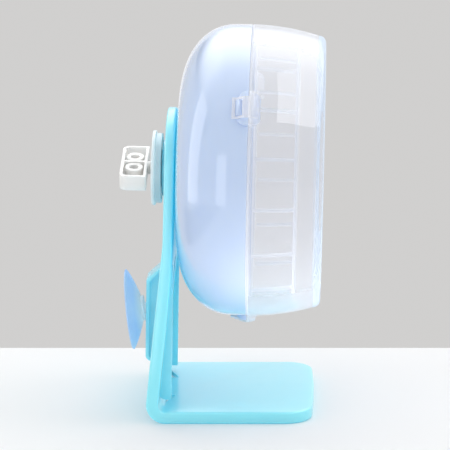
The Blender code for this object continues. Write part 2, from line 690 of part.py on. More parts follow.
def clamp_disc(material, axle):
    rear = -DISC_REAR
    flange_front = rear + DISC_FLANGE
    drum_front = flange_front + DISC_DRUM_DEPTH
    hub_front = BOSS_BACK - SEAT_GAP
    hole = SCREW_SHANK_RADIUS + SCREW_CLEARANCE
    cup = DISC_DRUM_RADIUS - DISC_WALL
    disc = turned("clamp_disc",
                  [(DISC_DRUM_RADIUS, drum_front), (DISC_DRUM_RADIUS, flange_front), (DISC_RADIUS, flange_front),
                   (DISC_RADIUS, rear + DISC_EDGE_ROUND), (DISC_RADIUS - DISC_EDGE_ROUND, rear), (hole, rear),
                   (hole, hub_front), (DISC_HUB_RADIUS, hub_front), (DISC_HUB_RADIUS, rear + DISC_FLOOR),
                   (cup, rear + DISC_FLOOR), (cup, drum_front)], MIDDLE_STEPS)
    return finish(disc, material, axle)


def thumb_screw(material, axle):
    neck_front = -DISC_REAR - SEAT_GAP
    grip_front = -DISC_REAR - GRIP_STANDOFF
    half_long = GRIP_LENGTH / 2
    rim = GRIP_THICKNESS / 2 - GRIP_DROP
    outline = rounded([(-half_long, grip_front, GRIP_INNER_ROUND), (-half_long, -GRIP_REAR, GRIP_ROUND),
                       (half_long, -GRIP_REAR, GRIP_ROUND), (half_long, grip_front, GRIP_INNER_ROUND)])
    grip = slab("thumb_screw", outline, rim - GRIP_THICKNESS, rim, grip_frame())
    finish(grip, material, axle)
    floor = rim - GRIP_POCKET
    inner_end = half_long - GRIP_WALL
    for name, side in (("grip_pocket_near", 1), ("grip_pocket_far", -1)):
        pocket = [(side * GRIP_WEB / 2, grip_front - GRIP_WALL, 0), (side * GRIP_WEB / 2, -GRIP_REAR + GRIP_WALL, 0),
                  (side * inner_end, -GRIP_REAR + GRIP_WALL, GRIP_ROUND - GRIP_WALL),
                  (side * inner_end, grip_front - GRIP_WALL, 0)]
        cut(grip, slab(name, rounded(pocket), floor, rim + OVERRUN, grip_frame()))
    middle = (grip_front - GRIP_REAR) / 2
    for name, side in (("grip_tube_near", 1), ("grip_tube_far", -1)):
        tube = turned(name, [(GRIP_TUBE_RADIUS, rim - SEAT_GAP), (GRIP_TUBE_RADIUS, floor - GRIP_WALL / 2),
                             (GRIP_TUBE_BORE, floor - GRIP_WALL / 2), (GRIP_TUBE_BORE, rim - SEAT_GAP)], SMALL_STEPS)
        tube.data.transform(grip_frame() @ Matrix.Translation((side * GRIP_TUBE_OFFSET, middle, 0)))
        join(grip, tube)
    shank_front = neck_front + SCREW_SHANK_REACH
    chamfer = SCREW_SHANK_RADIUS / 3
    shank = turned("screw_shank",
                   [(0, shank_front), (SCREW_SHANK_RADIUS - chamfer, shank_front),
                    (SCREW_SHANK_RADIUS, shank_front - chamfer), (SCREW_SHANK_RADIUS, neck_front),
                    (SCREW_NECK_RADIUS, neck_front), (SCREW_NECK_RADIUS, grip_front - GRIP_WALL / 2),
                    (0, grip_front - GRIP_WALL / 2)], ring=False)
    join(grip, shank)
    return grip


def grip_frame():
    """x along the grip, y along the axle, z out of its open face."""
    long_way = Vector((sin(GRIP_TURN), -cos(GRIP_TURN), 0))
    axial = Vector((0, 0, 1))
    face = long_way.cross(axial)
    return Matrix((long_way, axial, face)).transposed().to_4x4()


# Stand

def lean_x(axial, z):
    """World X of a plane square to the axle, at a height."""
    return SEAM_X + (axial + (z - AXLE_HEIGHT) * sin(LEAN)) / cos(LEAN)


def leg_x(z, setback):
    """World X of the leg, at a height; setback 0 is its back face."""
    bend = AXLE_HEIGHT - BEND_DROP
    return lean_x(HEAD_BACK, bend) + (z - bend) * tan(LEG_LEAN) + setback


def side_outline(skin, proud):
    """Side view of the stand: skin moves its front and top in, proud its back and underside out."""
    front_set = LEG_THICKNESS - skin
    head_front = HEAD_FRONT - skin
    base_top = LEG_THICKNESS - skin
    top = AXLE_HEIGHT + HEAD_RADIUS + OVERRUN
    ground = -proud
    bend = AXLE_HEIGHT - BEND_DROP
    slope = tan(LEG_LEAN) - tan(LEAN)
    front_bend = bend - (leg_x(bend, front_set) - lean_x(head_front, bend)) / slope
    back = HEAD_BACK - proud
    root = ROOT_ROUND if proud == 0 else 0
    return rounded([(lean_x(back, top), top, 0), (lean_x(back, bend), bend, BEND_ROUND),
                    (leg_x(ground, -proud), ground, root),
                    (SEAM_X + BASE_FRONT + OVERRUN, ground, 0), (SEAM_X + BASE_FRONT + OVERRUN, base_top, 0),
                    (leg_x(base_top, front_set), base_top, ROOT_ROUND - LEG_THICKNESS + skin),
                    (leg_x(front_bend, front_set), front_bend, BEND_ROUND),
                    (lean_x(head_front, top), top, 0)])


def front_outline(inset):
    """Front view of the upright: round head, flaring legs, then the full width of the base."""
    radius = HEAD_RADIUS - inset
    half = HALF_BASE - inset
    centre = head_centre_z()
    drop = centre - FLARE_HEIGHT
    reach = sqrt(half ** 2 + drop ** 2)
    tangent = atan2(-drop, half) + asin(sqrt(reach ** 2 - radius ** 2) / reach)
    points = arc((0, centre), radius, tangent, pi - tangent, 20)
    ground = -OVERRUN
    legs = rounded([(-half, FLARE_HEIGHT, FLARE_ROUND), (-half, ground, 0), (half, ground, 0),
                    (half, FLARE_HEIGHT, FLARE_ROUND), points[0] + (0,), points[-1] + (0,)])
    return points[1:-1] + [legs[-1]] + legs[:-2] + [legs[-2]]


def head_centre_z():
    return AXLE_HEIGHT - (HEAD_FRONT + HEAD_BACK) / 2 * sin(LEAN)


def plan_outline(inset):
    """Plan of the base: rounded front corners and a slightly bowed front edge."""
    half = HALF_BASE - inset
    front = SEAM_X + BASE_FRONT - inset
    back = leg_x(0, -LEG_THICKNESS - OVERRUN)
    corner = BASE_CORNER - inset
    return rounded([(back, -half, 0), (front - BASE_BOW, -half, corner), (front, 0, BASE_BOW_ROUND),
                    (front - BASE_BOW, half, corner), (back, half, 0)])


def bracket_outline(inset, front):
    """Side view of the suction cup bracket; front gives the X of its front edge at a height."""
    shoulder = AXLE_HEIGHT - CUP_DROP + BRACKET_RISE
    foot = LEG_THICKNESS + (AXLE_HEIGHT - CUP_DROP - LEG_THICKNESS) * BRACKET_FOOT_SHARE
    back = inset - BRACKET_BACK
    slope_shift = inset * tan(pi / 8)
    back_top = lean_x(back, shoulder)
    rise = front(shoulder) - back_top
    foot_round = (leg_x(foot, 0) - lean_x(-BRACKET_BACK, foot)) * BRACKET_FOOT_ROUND_SHARE
    low = foot + inset
    top = shoulder + rise - slope_shift
    return rounded([(front(top), top, 0), (back_top, shoulder - slope_shift, 0),
                    (lean_x(back, low), low, foot_round - inset), (front(low), low, 0)])


def stand(material):
    reach = HALF_BASE + OVERRUN
    body = slab("stand", side_outline(0, 0), -reach, reach, SIDE_VIEW)
    rear = leg_x(0, -LEG_THICKNESS - OVERRUN)
    front = SEAM_X + BASE_FRONT + OVERRUN * 2
    top = AXLE_HEIGHT + HEAD_RADIUS + OVERRUN * 2
    keep_common(body, slab("stand_front_view", front_outline(0), rear, front, FRONT_VIEW),
                slab("stand_plan", plan_outline(0), -OVERRUN, top))
    edges = body.modifiers.new("edge_rounding", 'BEVEL')
    edges.width = STAND_EDGE_ROUND
    edges.segments = 2
    edges.limit_method = 'ANGLE'
    edges.angle_limit = radians(60)

    hollow = slab("stand_hollow", side_outline(STAND_SKIN, OVERRUN), -reach, reach, SIDE_VIEW)
    keep_common(hollow, slab("hollow_front_view", front_outline(STAND_RIM), rear * 2, front, FRONT_VIEW),
                slab("hollow_plan", plan_outline(STAND_RIM), -OVERRUN * 2, top))
    bake(hollow)
    close_mesh(hollow.data)
    cut(body, hollow)

    axle_frame = Matrix.Translation((SEAM_X, 0, AXLE_HEIGHT)) @ Matrix.Rotation(pi / 2 + LEAN, 4, 'Y')
    boss = rod("head_boss", BOSS_RADIUS, BOSS_BACK, HEAD_FRONT - STAND_SKIN / 2, axle_frame, MIDDLE_STEPS)
    join(body, boss)

    half_rib = RIB_THICKNESS / 2
    skin_middle = LEG_THICKNESS - STAND_SKIN / 2
    rib_top = AXLE_HEIGHT - RIB_TOP_DROP
    rib_foot = LEG_THICKNESS + RIB_FOOT_GAP
    rib_front = HEAD_FRONT + RIB_PROUD
    rib = rounded([(leg_x(rib_top, skin_middle), rib_top, 0),
                   (leg_x(rib_foot, skin_middle), rib_foot, RIB_FOOT_ROUND),
                   (lean_x(rib_front, rib_foot), rib_foot, 0), (lean_x(rib_front, rib_top), rib_top, 0)])
    for name, side in (("rib_near", -RIB_SPREAD), ("rib_far", RIB_SPREAD)):
        join(body, slab(name, rib, -side - half_rib, -side + half_rib, SIDE_VIEW))

    half_bracket = BRACKET_WIDTH / 2
    bracket = slab("bracket", bracket_outline(0, lambda z: leg_x(z, skin_middle)),
                   -half_bracket, half_bracket, SIDE_VIEW)
    recess_outline = bracket_outline(BRACKET_WALL, lambda z: leg_x(z, -SEAT_GAP))
    recess = half_bracket - BRACKET_SIDE_RECESS
    for name, side in (("bracket_recess_near", 1), ("bracket_recess_far", -1)):
        low, high = sorted((side * recess, side * (half_bracket + OVERRUN)))
        cut(bracket, slab(name, recess_outline, low, high, SIDE_VIEW))
    bake(bracket)
    close_mesh(bracket.data)
    join(body, bracket)
    cavity = recess - BRACKET_SIDE_WALL
    cut(body, slab("bracket_cavity", bracket_outline(BRACKET_WALL, lambda z: leg_x(z, LEG_THICKNESS + OVERRUN)),
                   -cavity, cavity, SIDE_VIEW))
    cut(body, *keyhole())

    bore = rod("head_bore", SPINDLE_REAR_RADIUS + SEAT_GAP, BOSS_BACK - OVERRUN, HEAD_FRONT + OVERRUN,
               axle_frame, SMALL_STEPS)
    cut(body, bore)
    for name, side in (("root_window_near", -1), ("root_window_far", 1)):
        window = [(SEAM_X - ROOT_WINDOW_FRONT, side * ROOT_WINDOW_INNER),
                  (SEAM_X - ROOT_WINDOW_BACK, side * ROOT_WINDOW_INNER),
                  (SEAM_X - ROOT_WINDOW_BACK, side * ROOT_WINDOW_OUTER)]
        cut(body, slab(name, window, LEG_THICKNESS - STAND_SKIN - OVERRUN / 2, LEG_THICKNESS + OVERRUN / 2))
    return finish(body, material)


def cup_frame():
    """Z runs backwards out of the bracket, along the axis of the suction cup."""
    z = AXLE_HEIGHT - CUP_DROP
    return (Matrix.Translation((lean_x(-BRACKET_BACK, z), 0, z)) @ Matrix.Rotation(-pi / 2 + LEAN, 4, 'Y'))


def keyhole():
    """A hole for the head of the cup with a slot down to the seat of its neck."""
    neck = CUP_NECK_RADIUS + CUP_NECK_CLEARANCE
    entry_radius = CUP_HEAD_RADIUS + CUP_NECK_CLEARANCE
    depth = BRACKET_WALL + OVERRUN / 4
    entry_frame = cup_frame() @ Matrix.Translation((KEYHOLE_ENTRY_RISE, 0, 0))
    entry = rod("keyhole_entry", entry_radius, -depth, OVERRUN, entry_frame)
    slot = slab("keyhole_slot", rounded([(-neck, -neck, neck * 0.98), (KEYHOLE_ENTRY_RISE, -neck, 0),
                                         (KEYHOLE_ENTRY_RISE, neck, 0), (-neck, neck, neck * 0.98)]),
                -depth, OVERRUN, cup_frame())
    return entry, slot


def suction_cup(material):
    collar_low = CUP_COLLAR_RADIUS * sin(CUP_TILT) + SEAT_GAP
    collar_top = collar_low + CUP_COLLAR_LENGTH
    head_top = -BRACKET_WALL - CUP_HEAD_RADIUS * sin(CUP_TILT) - SEAT_GAP
    head_low = head_top - CUP_HEAD_LENGTH
    flare = CUP_REACH - collar_top
    outer_shares = ((0.90, 0.80), (0.70, 0.49), (0.50, 0.22))
    inner_shares = ((0.15, 0.03), (0.34, 0.15), (0.59, 0.42), (0.79, 0.70), (0.92, 0.88))
    inside = [(0, CUP_REACH - CUP_DEPTH)]
    inside += [(CUP_RADIUS * out, CUP_REACH - CUP_DEPTH * (1 - up)) for out, up in inner_shares]
    rim = [(CUP_RADIUS, CUP_REACH), (CUP_RADIUS, CUP_REACH - CUP_LIP)]
    outside = [(CUP_RADIUS * out, collar_top + (flare - CUP_LIP) * up) for out, up in outer_shares]
    neck = [(CUP_COLLAR_RADIUS, collar_top), (CUP_COLLAR_RADIUS, collar_low), (CUP_NECK_RADIUS, collar_low),
            (CUP_NECK_RADIUS, head_top), (CUP_HEAD_RADIUS, head_top),
            (CUP_HEAD_RADIUS, head_low + CUP_HEAD_LENGTH / 3), (CUP_HEAD_RADIUS * 0.7, head_low), (0, head_low)]
    cup = turned("suction_cup", inside + rim + outside + neck, MIDDLE_STEPS, ring=False)
    return finish(cup, material, None, cup_frame() @ Matrix.Rotation(-CUP_TILT, 4, 'Y'))


def empty_on_axle(name, parent=None):
    """An empty at the seam on the axle, its Z along the axle towards the front."""
    holder = bpy.data.objects.new(name, None)
    part_collection.objects.link(holder)
    if parent is None:
        holder.matrix_world = (Matrix.Translation((SEAM_X, 0, AXLE_HEIGHT))
                               @ Matrix.Rotation(pi / 2 + LEAN, 4, 'Y'))
    else:
        holder.parent = parent
    return holder


def build():
    start_scene()
    cyan = plastic("cyan_plastic", (0.16, 0.66, 0.84), 0.35)
    lilac = plastic("lilac_plastic", (0.60, 0.69, 0.92), 0.25)
    clear = plastic("clear_plastic", (0.93, 0.95, 0.98), 0.08, transmission=1.0)
    white = plastic("white_plastic", (0.86, 0.86, 0.83), 0.35)
    soft = plastic("soft_pvc", (0.42, 0.62, 0.95), 0.20, transmission=0.8)
    steel = plastic("bearing_steel", (0.62, 0.62, 0.64), 0.25, metallic=1.0)
    brass = plastic("cage_steel", (0.50, 0.48, 0.44), 0.35, metallic=1.0)

    axle = empty_on_axle("axle")
    wheel_axle = empty_on_axle("wheel_axle", axle)
    cage_axle = empty_on_axle("cage_axle", axle)
    clamp_axle = empty_on_axle("clamp_axle", axle)
    screw_axle = empty_on_axle("screw_axle", clamp_axle)

    stand(cyan)
    suction_cup(soft)
    spindle(white, steel, axle)
    rear_shell(lilac, wheel_axle)
    front_cover(clear, wheel_axle)
    bearing(steel, brass, wheel_axle, cage_axle)
    hub_cap(lilac, steel, wheel_axle)
    clamp_disc(white, clamp_axle)
    thumb_screw(white, screw_axle)
    bpy.context.view_layer.update()


build()
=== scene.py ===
from math import asin, atan2, cos, pi, radians, sin, sqrt, tan

import bmesh
import bpy
from mathutils import Matrix, Vector


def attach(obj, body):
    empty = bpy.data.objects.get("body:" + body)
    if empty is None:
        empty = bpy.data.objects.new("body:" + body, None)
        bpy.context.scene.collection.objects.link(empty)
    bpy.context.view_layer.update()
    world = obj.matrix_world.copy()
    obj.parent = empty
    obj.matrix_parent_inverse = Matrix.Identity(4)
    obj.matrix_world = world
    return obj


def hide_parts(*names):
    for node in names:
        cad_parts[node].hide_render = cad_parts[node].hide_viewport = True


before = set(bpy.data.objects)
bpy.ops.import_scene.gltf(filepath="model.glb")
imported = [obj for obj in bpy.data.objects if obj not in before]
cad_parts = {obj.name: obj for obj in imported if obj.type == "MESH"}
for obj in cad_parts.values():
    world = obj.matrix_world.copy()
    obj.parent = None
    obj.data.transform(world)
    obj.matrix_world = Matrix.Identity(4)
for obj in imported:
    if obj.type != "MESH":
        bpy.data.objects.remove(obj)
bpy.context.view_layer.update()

mm = 0.001
whole = dict(axleHeight=113.8, seamX=12.8822, lean=radians(1.4), seatGap=0.3, fitGap=0.2, runningGap=1.0)
axleHeight, seamX, lean = whole["axleHeight"], whole["seamX"], whole["lean"]
gap, fitGap = whole["seatGap"], whole["fitGap"]
fineEdge, rimEdge, plainEdge, softEdge = 0.2, 0.25, 0.3, 0.4  # radii that many profiles share
overrun = 4  # how far a cutter reaches past what it cuts
onAxis = 1e-6
groundFrame = Matrix.Diagonal((mm, mm, mm, 1))
axlePlace = Matrix.Translation((seamX, 0, axleHeight)) @ Matrix.Rotation(pi / 2 + lean, 4, "Y")
axleFrame = groundFrame @ axlePlace


# Node graphs: a wire carries a socket and takes plain arithmetic

class Wire:
    def __init__(self, graph, socket):
        self.graph, self.socket = graph, socket

    def maths(self, operation, other, swap=False):
        first, second = (other, self) if swap else (self, other)
        return self.graph.add("ShaderNodeMath", dict(operation=operation), {0: first, 1: second})

    def within(self, low, high):
        return self.maths("MAXIMUM", low).maths("MINIMUM", high)

    def __add__(self, other):
        return self.maths("ADD", other)

    def __sub__(self, other):
        return self.maths("SUBTRACT", other)

    def __rsub__(self, other):
        return self.maths("SUBTRACT", other, True)

    def __mul__(self, other):
        return self.maths("MULTIPLY", other)

    def __truediv__(self, other):
        return self.maths("DIVIDE", other)

    def __pow__(self, other):
        return self.maths("POWER", other)

    __radd__, __rmul__ = __add__, __mul__


class Graph:
    def __init__(self, owner):  # a name for a new material, or the world
        self.material = bpy.data.materials.new(owner) if isinstance(owner, str) else owner
        self.material.use_nodes = True
        self.tree = self.material.node_tree
        self.tree.nodes.clear()

    def add(self, kind, settings=None, sockets=None, output=0):
        node = self.tree.nodes.new(kind)
        for key, value in (settings or {}).items():
            if key == "stops":
                ramp = node.color_ramp
                while len(ramp.elements) < len(value):
                    ramp.elements.new(0.5)
                for element, (place, tint) in zip(ramp.elements, value):
                    element.position, element.color = place, tint
            else:
                setattr(node, key, value)
        for key, value in (sockets or {}).items():
            if isinstance(value, Wire):
                self.tree.links.new(value.socket, node.inputs[key])
            else:
                node.inputs[key].default_value = value
        return Wire(self, node.outputs[output]) if node.outputs else None

    def place(self, kind="Object"):
        return self.add("ShaderNodeTexCoord", output=kind)

    def split(self, vector):  # its parts along X, Y and Z
        node = self.add("ShaderNodeSeparateXYZ", None, {0: vector}).socket.node
        return [Wire(self, socket) for socket in node.outputs]

    def noise(self, place, scale, detail, distortion=0):
        return self.add("ShaderNodeTexNoise", None, {
            "Vector": place, "Scale": scale, "Detail": detail, "Distortion": distortion})

    def bump(self, height, strength, distance):
        return self.add("ShaderNodeBump", None, {
            "Height": height, "Strength": strength, "Distance": distance})

    def tint(self, factor, first, second):
        return self.add("ShaderNodeMix", dict(data_type="RGBA"), {0: factor, 6: first, 7: second}, 2)

    def blend(self, factor, first, second):
        return self.add("ShaderNodeMixShader", None, {0: factor, 1: first, 2: second})

    def close(self, surface):
        self.add("ShaderNodeOutputMaterial", None, {"Surface": surface})
        return self.material


def srgb(*values):  # a colour as a picture shows it, for a shader socket
    return (*[v / 12.92 if v <= 0.04045 else ((v + 0.055) / 1.055) ** 2.4 for v in values], 1.0)


def onAxle(graph):  # how far a point is from the axle and along it, in metres
    turned = graph.add("ShaderNodeMapping", dict(vector_type="TEXTURE"), {
        "Vector": graph.place(), "Location": axlePlace.translation * mm, "Rotation": (0, pi / 2 + lean, 0)})
    across, beside, along = graph.split(turned)
    return (across * across + beside * beside) ** 0.5, along


# Moulded plastics. cloud: soft colour drift over centimetres; grain: the mould's fine texture

mould = dict(ior=1.49, rubScale=5, grainShare=0.8, bumpStrength=4, bumpDepth=0.0002)
mouldedLooks = dict(
    # the cyan plastic carries the colour of a painted glow, an emission that stands in for light coming
    # through its skin
    cyanPlastic=dict(
        colour=srgb(0.57, 0.92, 0.99), shade=srgb(0.545, 0.90, 0.98), roughness=0.34, spread=0.10, cloud=26,
        grain=1900, bump=0.02, specular=0.5, coat=0.6, coatRoughness=0.14, subsurface=0.5,
        radius=(0.8, 0.95, 1.0), depth=0.009, glow=0.04, paintedGlow=srgb(0.0, 0.47, 0.54), gapLow=30, gapRise=30,
        baseShare=0.8),
    lilacPlastic=dict(
        colour=srgb(0.757, 0.82, 0.93), shade=srgb(0.74, 0.803, 0.92), roughness=0.24, spread=0.06, cloud=18,
        grain=1500, bump=0.008, specular=0.12, coat=1.0, coatRoughness=0.008, subsurface=0.3,
        radius=(0.6, 0.75, 1.0), depth=0.007, glow=0.03),
    whitePlastic=dict(
        colour=srgb(0.91, 0.902, 0.89), shade=srgb(0.89, 0.88, 0.865), roughness=0.38, spread=0.10, cloud=40,
        grain=2200, bump=0.02, specular=0.4, coat=0.25, coatRoughness=0.18, subsurface=0.7,
        radius=(1.0, 0.95, 0.9), depth=0.012, glow=0.0))
# a copy of the white plastic tinted pale cyan: painted cyan bounce and shade from the stand, worn by the
# clamp disc
mouldedLooks["palePlastic"] = mouldedLooks["whitePlastic"] | dict(
    colour=srgb(0.87, 0.92, 0.94), shade=srgb(0.84, 0.90, 0.925))


def mouldedPlastic(name, look):
    graph = Graph(name)
    place = graph.place()
    cloud = graph.noise(place, look["cloud"], 3)
    grain = graph.noise(place, look["grain"], 2)
    rub = graph.noise(place, look["cloud"] * mould["rubScale"], 6)
    height = graph.bump(grain * mould["grainShare"] + rub * (1 - mould["grainShare"]),
                        look["bump"] * mould["bumpStrength"], mould["bumpDepth"])
    sockets = {
        "Base Color": graph.tint(cloud, look["colour"], look["shade"]), "Normal": height,
        "Roughness": look["roughness"] - look["spread"] / 2 + rub * look["spread"], "IOR": mould["ior"],
        "Specular IOR Level": look["specular"], "Coat Weight": look["coat"],
        "Coat Roughness": look["coatRoughness"], "Subsurface Weight": look["subsurface"],
        "Subsurface Radius": look["radius"], "Subsurface Scale": look["depth"]}
    if "paintedGlow" in look:  # painted glow: an emission stands in for daylight coming through the skin, on faces towards the drum and on the base's underside
        risen = ((graph.split(place)[2] - look["gapLow"] * mm) / (look["gapRise"] * mm)).within(0, 1)
        forward, _, up = graph.split(graph.place("Normal"))
        under = up.maths("MINIMUM", 0) * (risen - 1) * look["baseShare"]
        paintedGlowShare = forward.maths("MAXIMUM", 0) * risen + under
        lit = graph.tint(paintedGlowShare, (0, 0, 0, 1), look["paintedGlow"])
        sockets |= {"Emission Color": lit, "Emission Strength": 1}
    shader = graph.add("ShaderNodeBsdfPrincipled", None, sockets)
    through = graph.add("ShaderNodeBsdfTranslucent", None, {"Color": look["colour"], "Normal": height})
    return graph.close(graph.blend(look["glow"], shader, through))


# Clear plastics and steel

melt = dict(distortion=0.6, flowShare=0.85, bumpDepth=0.001, milkFrom=0.35, milkGain=3.3)
latheMarks = dict(scale=4200, bright=srgb(0.88, 0.88, 0.89), spread=0.12, bump=0.12, bumpDepth=0.0001)


def clearMoulding(name, look):  # see-through plastic: gloss on top, milky where it is seen edge on
    graph = Graph(name)
    place = graph.place()
    flow = graph.noise(place, look["flow"], 2, melt["distortion"])
    fine = graph.noise(place, look["fine"], 4)
    height = graph.bump(flow * melt["flowShare"] + fine * (1 - melt["flowShare"]), look["bump"],
                        melt["bumpDepth"])
    body = graph.add("ShaderNodeBsdfPrincipled", None, {
        "Base Color": graph.tint(flow, look["colour"], look["shade"]), "Normal": height,
        "Roughness": look["roughness"] + fine * look["spread"], "IOR": look["ior"],
        "Transmission Weight": 1, "Coat Weight": 1, "Coat Roughness": look["coatRoughness"]})

    def milkOf(tint):  # lit from in front and from behind alike
        lit = graph.add("ShaderNodeBsdfDiffuse", None, {"Color": tint, "Normal": height})
        litThrough = graph.add("ShaderNodeBsdfTranslucent", None, {"Color": tint, "Normal": height})
        return graph.blend(0.5, lit, litThrough)

    clouded = (flow - melt["milkFrom"]) * melt["milkGain"]
    milk = graph.blend(clouded, milkOf(look["milk"]), milkOf(look["milkShade"]))
    edgeOn = graph.add("ShaderNodeLayerWeight", None, {"Blend": 0.5, "Normal": height}, "Facing")
    share = edgeOn ** look["edgePower"] * look["edgeMilk"] + (look["haze"] + fine * look["hazeSpread"])
    if "core" in look:  # nearly clear round its neck, and bluer towards the rim
        away = graph.add("ShaderNodeVectorMath", dict(operation="DISTANCE"), {0: place, 1: look["core"] * mm},
                         "Value")
        nearCore = (look["coreEnd"] * mm - away) / (look["coreFade"] * mm)
        milk = graph.blend(nearCore, milk, milkOf(look["coreTint"]))
    if "bands" in look:  # bluish in the front wall, and light gathers in the seam, the treads and the latches
        radius, along = onAxle(graph)
        atLip = along.maths("GREATER_THAN", look["lipStart"] * mm)
        milk = graph.blend(atLip, milk, milkOf(look["lip"]))
        bowed = radius + along * along / (2 * look["bow"] * mm)  # measured from the bowed wall
        wires = dict(along=along, depth=bowed * (1 - atLip))
        for wire, low, high, amount in look["bands"].values():
            value = wires[wire]
            band = value.maths("GREATER_THAN", low * mm) * value.maths("LESS_THAN", high * mm)
            share = share + band * amount
        lipMilk = atLip * edgeOn ** look["lipPower"] * look["lipMilk"]
        share = (share + lipMilk).maths("MINIMUM", look["mostMilk"])
    through = graph.add("ShaderNodeBsdfTransparent", None, {"Color": look["shadow"]})
    inShadow = graph.add("ShaderNodeLightPath", output="Is Shadow Ray")
    return graph.close(graph.blend(inShadow * look["shadowShare"], graph.blend(share, body, milk), through))


def turnedSteel(name, tone, roughness):  # rings round the axle, left by the lathe
    graph = Graph(name)
    radius, _ = onAxle(graph)
    rings = graph.add("ShaderNodeTexNoise", dict(noise_dimensions="1D"), {
        "W": radius, "Scale": latheMarks["scale"], "Detail": 2})
    return graph.close(graph.add("ShaderNodeBsdfPrincipled", None, {
        "Base Color": graph.tint(rings, tone, latheMarks["bright"]), "Metallic": 1,
        "Roughness": roughness + rings * latheMarks["spread"],
        "Normal": graph.bump(rings, latheMarks["bump"], latheMarks["bumpDepth"])}))


cyan, lilac, white, pale = [mouldedPlastic(name, look) for name, look in mouldedLooks.items()]
steel = turnedSteel("bearingSteel", srgb(0.76, 0.76, 0.78), 0.16)
cageSteel = turnedSteel("cageSteel", srgb(0.70, 0.68, 0.63), 0.26)
zinc = turnedSteel("screwZinc", srgb(0.80, 0.81, 0.82), 0.22)
print("plastics and steels ready:", len(bpy.data.materials))


# Outlines

def arc(centre, radius, start, end, parts):
    step = (end - start) / parts
    return [(centre[0] + radius * cos(start + step * k), centre[1] + radius * sin(start + step * k))
            for k in range(parts + 1)]


def rounded(corners, arcStep=radians(7.5)):  # corners are (x, y) or (x, y, radius)
    points = []
    for index, corner in enumerate(corners):
        here = Vector(corner[:2])
        radius = corner[2] if len(corner) > 2 else 0
        before = Vector(corners[index - 1][:2]) - here
        after = Vector(corners[(index + 1) % len(corners)][:2]) - here
        turn = pi - before.angle(after) if radius else 0
        if turn < radians(0.05):  # as good as straight
            points.append(tuple(here))
            continue
        reach = radius * tan(turn / 2)
        begin = here + before.normalized() * reach
        end = here + after.normalized() * reach
        middle = here + (before.normalized() + after.normalized()).normalized() * (radius / cos(turn / 2))
        fromAngle = atan2(*(begin - middle).yx)
        sweep = (atan2(*(end - middle).yx) - fromAngle + pi) % (2 * pi) - pi
        points += arc(middle, radius, fromAngle, fromAngle + sweep, max(2, round(turn / arcStep)))
    return points


def rectangle(left, low, right, high, radius=0):
    return rounded([(left, low, radius), (right, low, radius), (right, high, radius), (left, high, radius)])


# Solids, in millimetres

def newObject(name, data):
    obj = bpy.data.objects.new(name, data)
    bpy.context.scene.collection.objects.link(obj)
    return obj


def meshObject(name, shape):
    mesh = bpy.data.meshes.new(name)
    shape.to_mesh(mesh)
    shape.free()
    return newObject(name, mesh)


def lathe(name, profile, steps):  # a profile that starts on the axis ends there, any other is a closed ring
    shape = bmesh.new()
    turns = [2 * pi * k / steps for k in range(steps)]
    rings = [[shape.verts.new((radius * cos(turn), radius * sin(turn), height))
              for turn in (turns[:1] if radius < onAxis else turns)] for radius, height in profile]
    following = rings[1:] + (rings[:1] if profile[0][0] > onAxis else [])
    for one, two in zip(rings, following):
        for k in range(steps):
            after = k + 1
            corners = [one[k % len(one)], one[after % len(one)], two[after % len(two)], two[k % len(two)]]
            corners = list(dict.fromkeys(corners))
            if len(corners) > 2:
                shape.faces.new(corners)
    bmesh.ops.recalc_face_normals(shape, faces=shape.faces)
    return meshObject(name, shape)


def turned(name, corners, steps, arcStep=radians(7.5)):
    return lathe(name, rounded(corners, arcStep), steps)


def flatRing(name, outer, inner, low, high, edge, steps):
    corners = [(outer, high, edge), (outer, low, edge), (inner, low, edge), (inner, high, edge)]
    return turned(name, corners, steps, radians(30))


def slab(name, outline, low, high, turnTo=Matrix()):
    shape = bmesh.new()
    floor = [shape.verts.new((x, y, low)) for x, y in outline]
    roof = [shape.verts.new((x, y, high)) for x, y in outline]
    shape.faces.new(floor)
    shape.faces.new(roof)
    for k in range(len(outline)):
        shape.faces.new((floor[k - 1], floor[k], roof[k], roof[k - 1]))
    shape.transform(turnTo)
    bmesh.ops.recalc_face_normals(shape, faces=shape.faces)
    return meshObject(name, shape)


def rod(name, radius, low, high, turnTo, steps):
    obj = lathe(name, [(0, low), (radius, low), (radius, high), (0, high)], steps)
    obj.data.transform(turnTo)
    return obj


def bake(obj):
    mesh = bpy.data.meshes.new_from_object(obj.evaluated_get(bpy.context.evaluated_depsgraph_get()))
    obj.modifiers.clear()
    obj.data = mesh
    return obj


def boolean(body, operation, tools):
    for tool in tools:
        modifier = body.modifiers.new(tool.name, "BOOLEAN")
        modifier.operation, modifier.solver, modifier.object = operation, "EXACT", tool
    bake(body)
    for tool in tools:
        bpy.data.objects.remove(tool, do_unlink=True)
    return body


def cut(body, *tools):
    return boolean(body, "DIFFERENCE", tools)


def join(body, *tools):
    return boolean(body, "UNION", tools)


def common(body, *tools):
    return boolean(body, "INTERSECT", tools)


def weld(name, *parts):  # several closed shapes of one moulding, kept as one piece
    shape = bmesh.new()
    for part in parts:
        shape.from_mesh(part.data)
        bpy.data.objects.remove(part, do_unlink=True)
    return meshObject(name, shape)


def softenEdges(body, width, segments=2, limit=radians(50)):
    modifier = body.modifiers.new("softEdges", "BEVEL")
    modifier.width, modifier.segments = width, segments
    modifier.limit_method, modifier.angle_limit = "ANGLE", limit
    return bake(body)


def setDown(obj, material, place, body, slot, *nodes, smooth=radians(32)):
    obj.data.transform(place)
    obj.data.materials.clear()
    obj.data.materials.append(material)
    obj.data.polygons.foreach_set("material_index", [0] * len(obj.data.polygons))
    obj.data.shade_smooth()
    obj.data.set_sharp_from_angle(angle=smooth)
    obj.data.update()
    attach(obj, body)
    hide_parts(*nodes)


# Geometry Nodes: trees with named inputs, which end in real and painted geometry

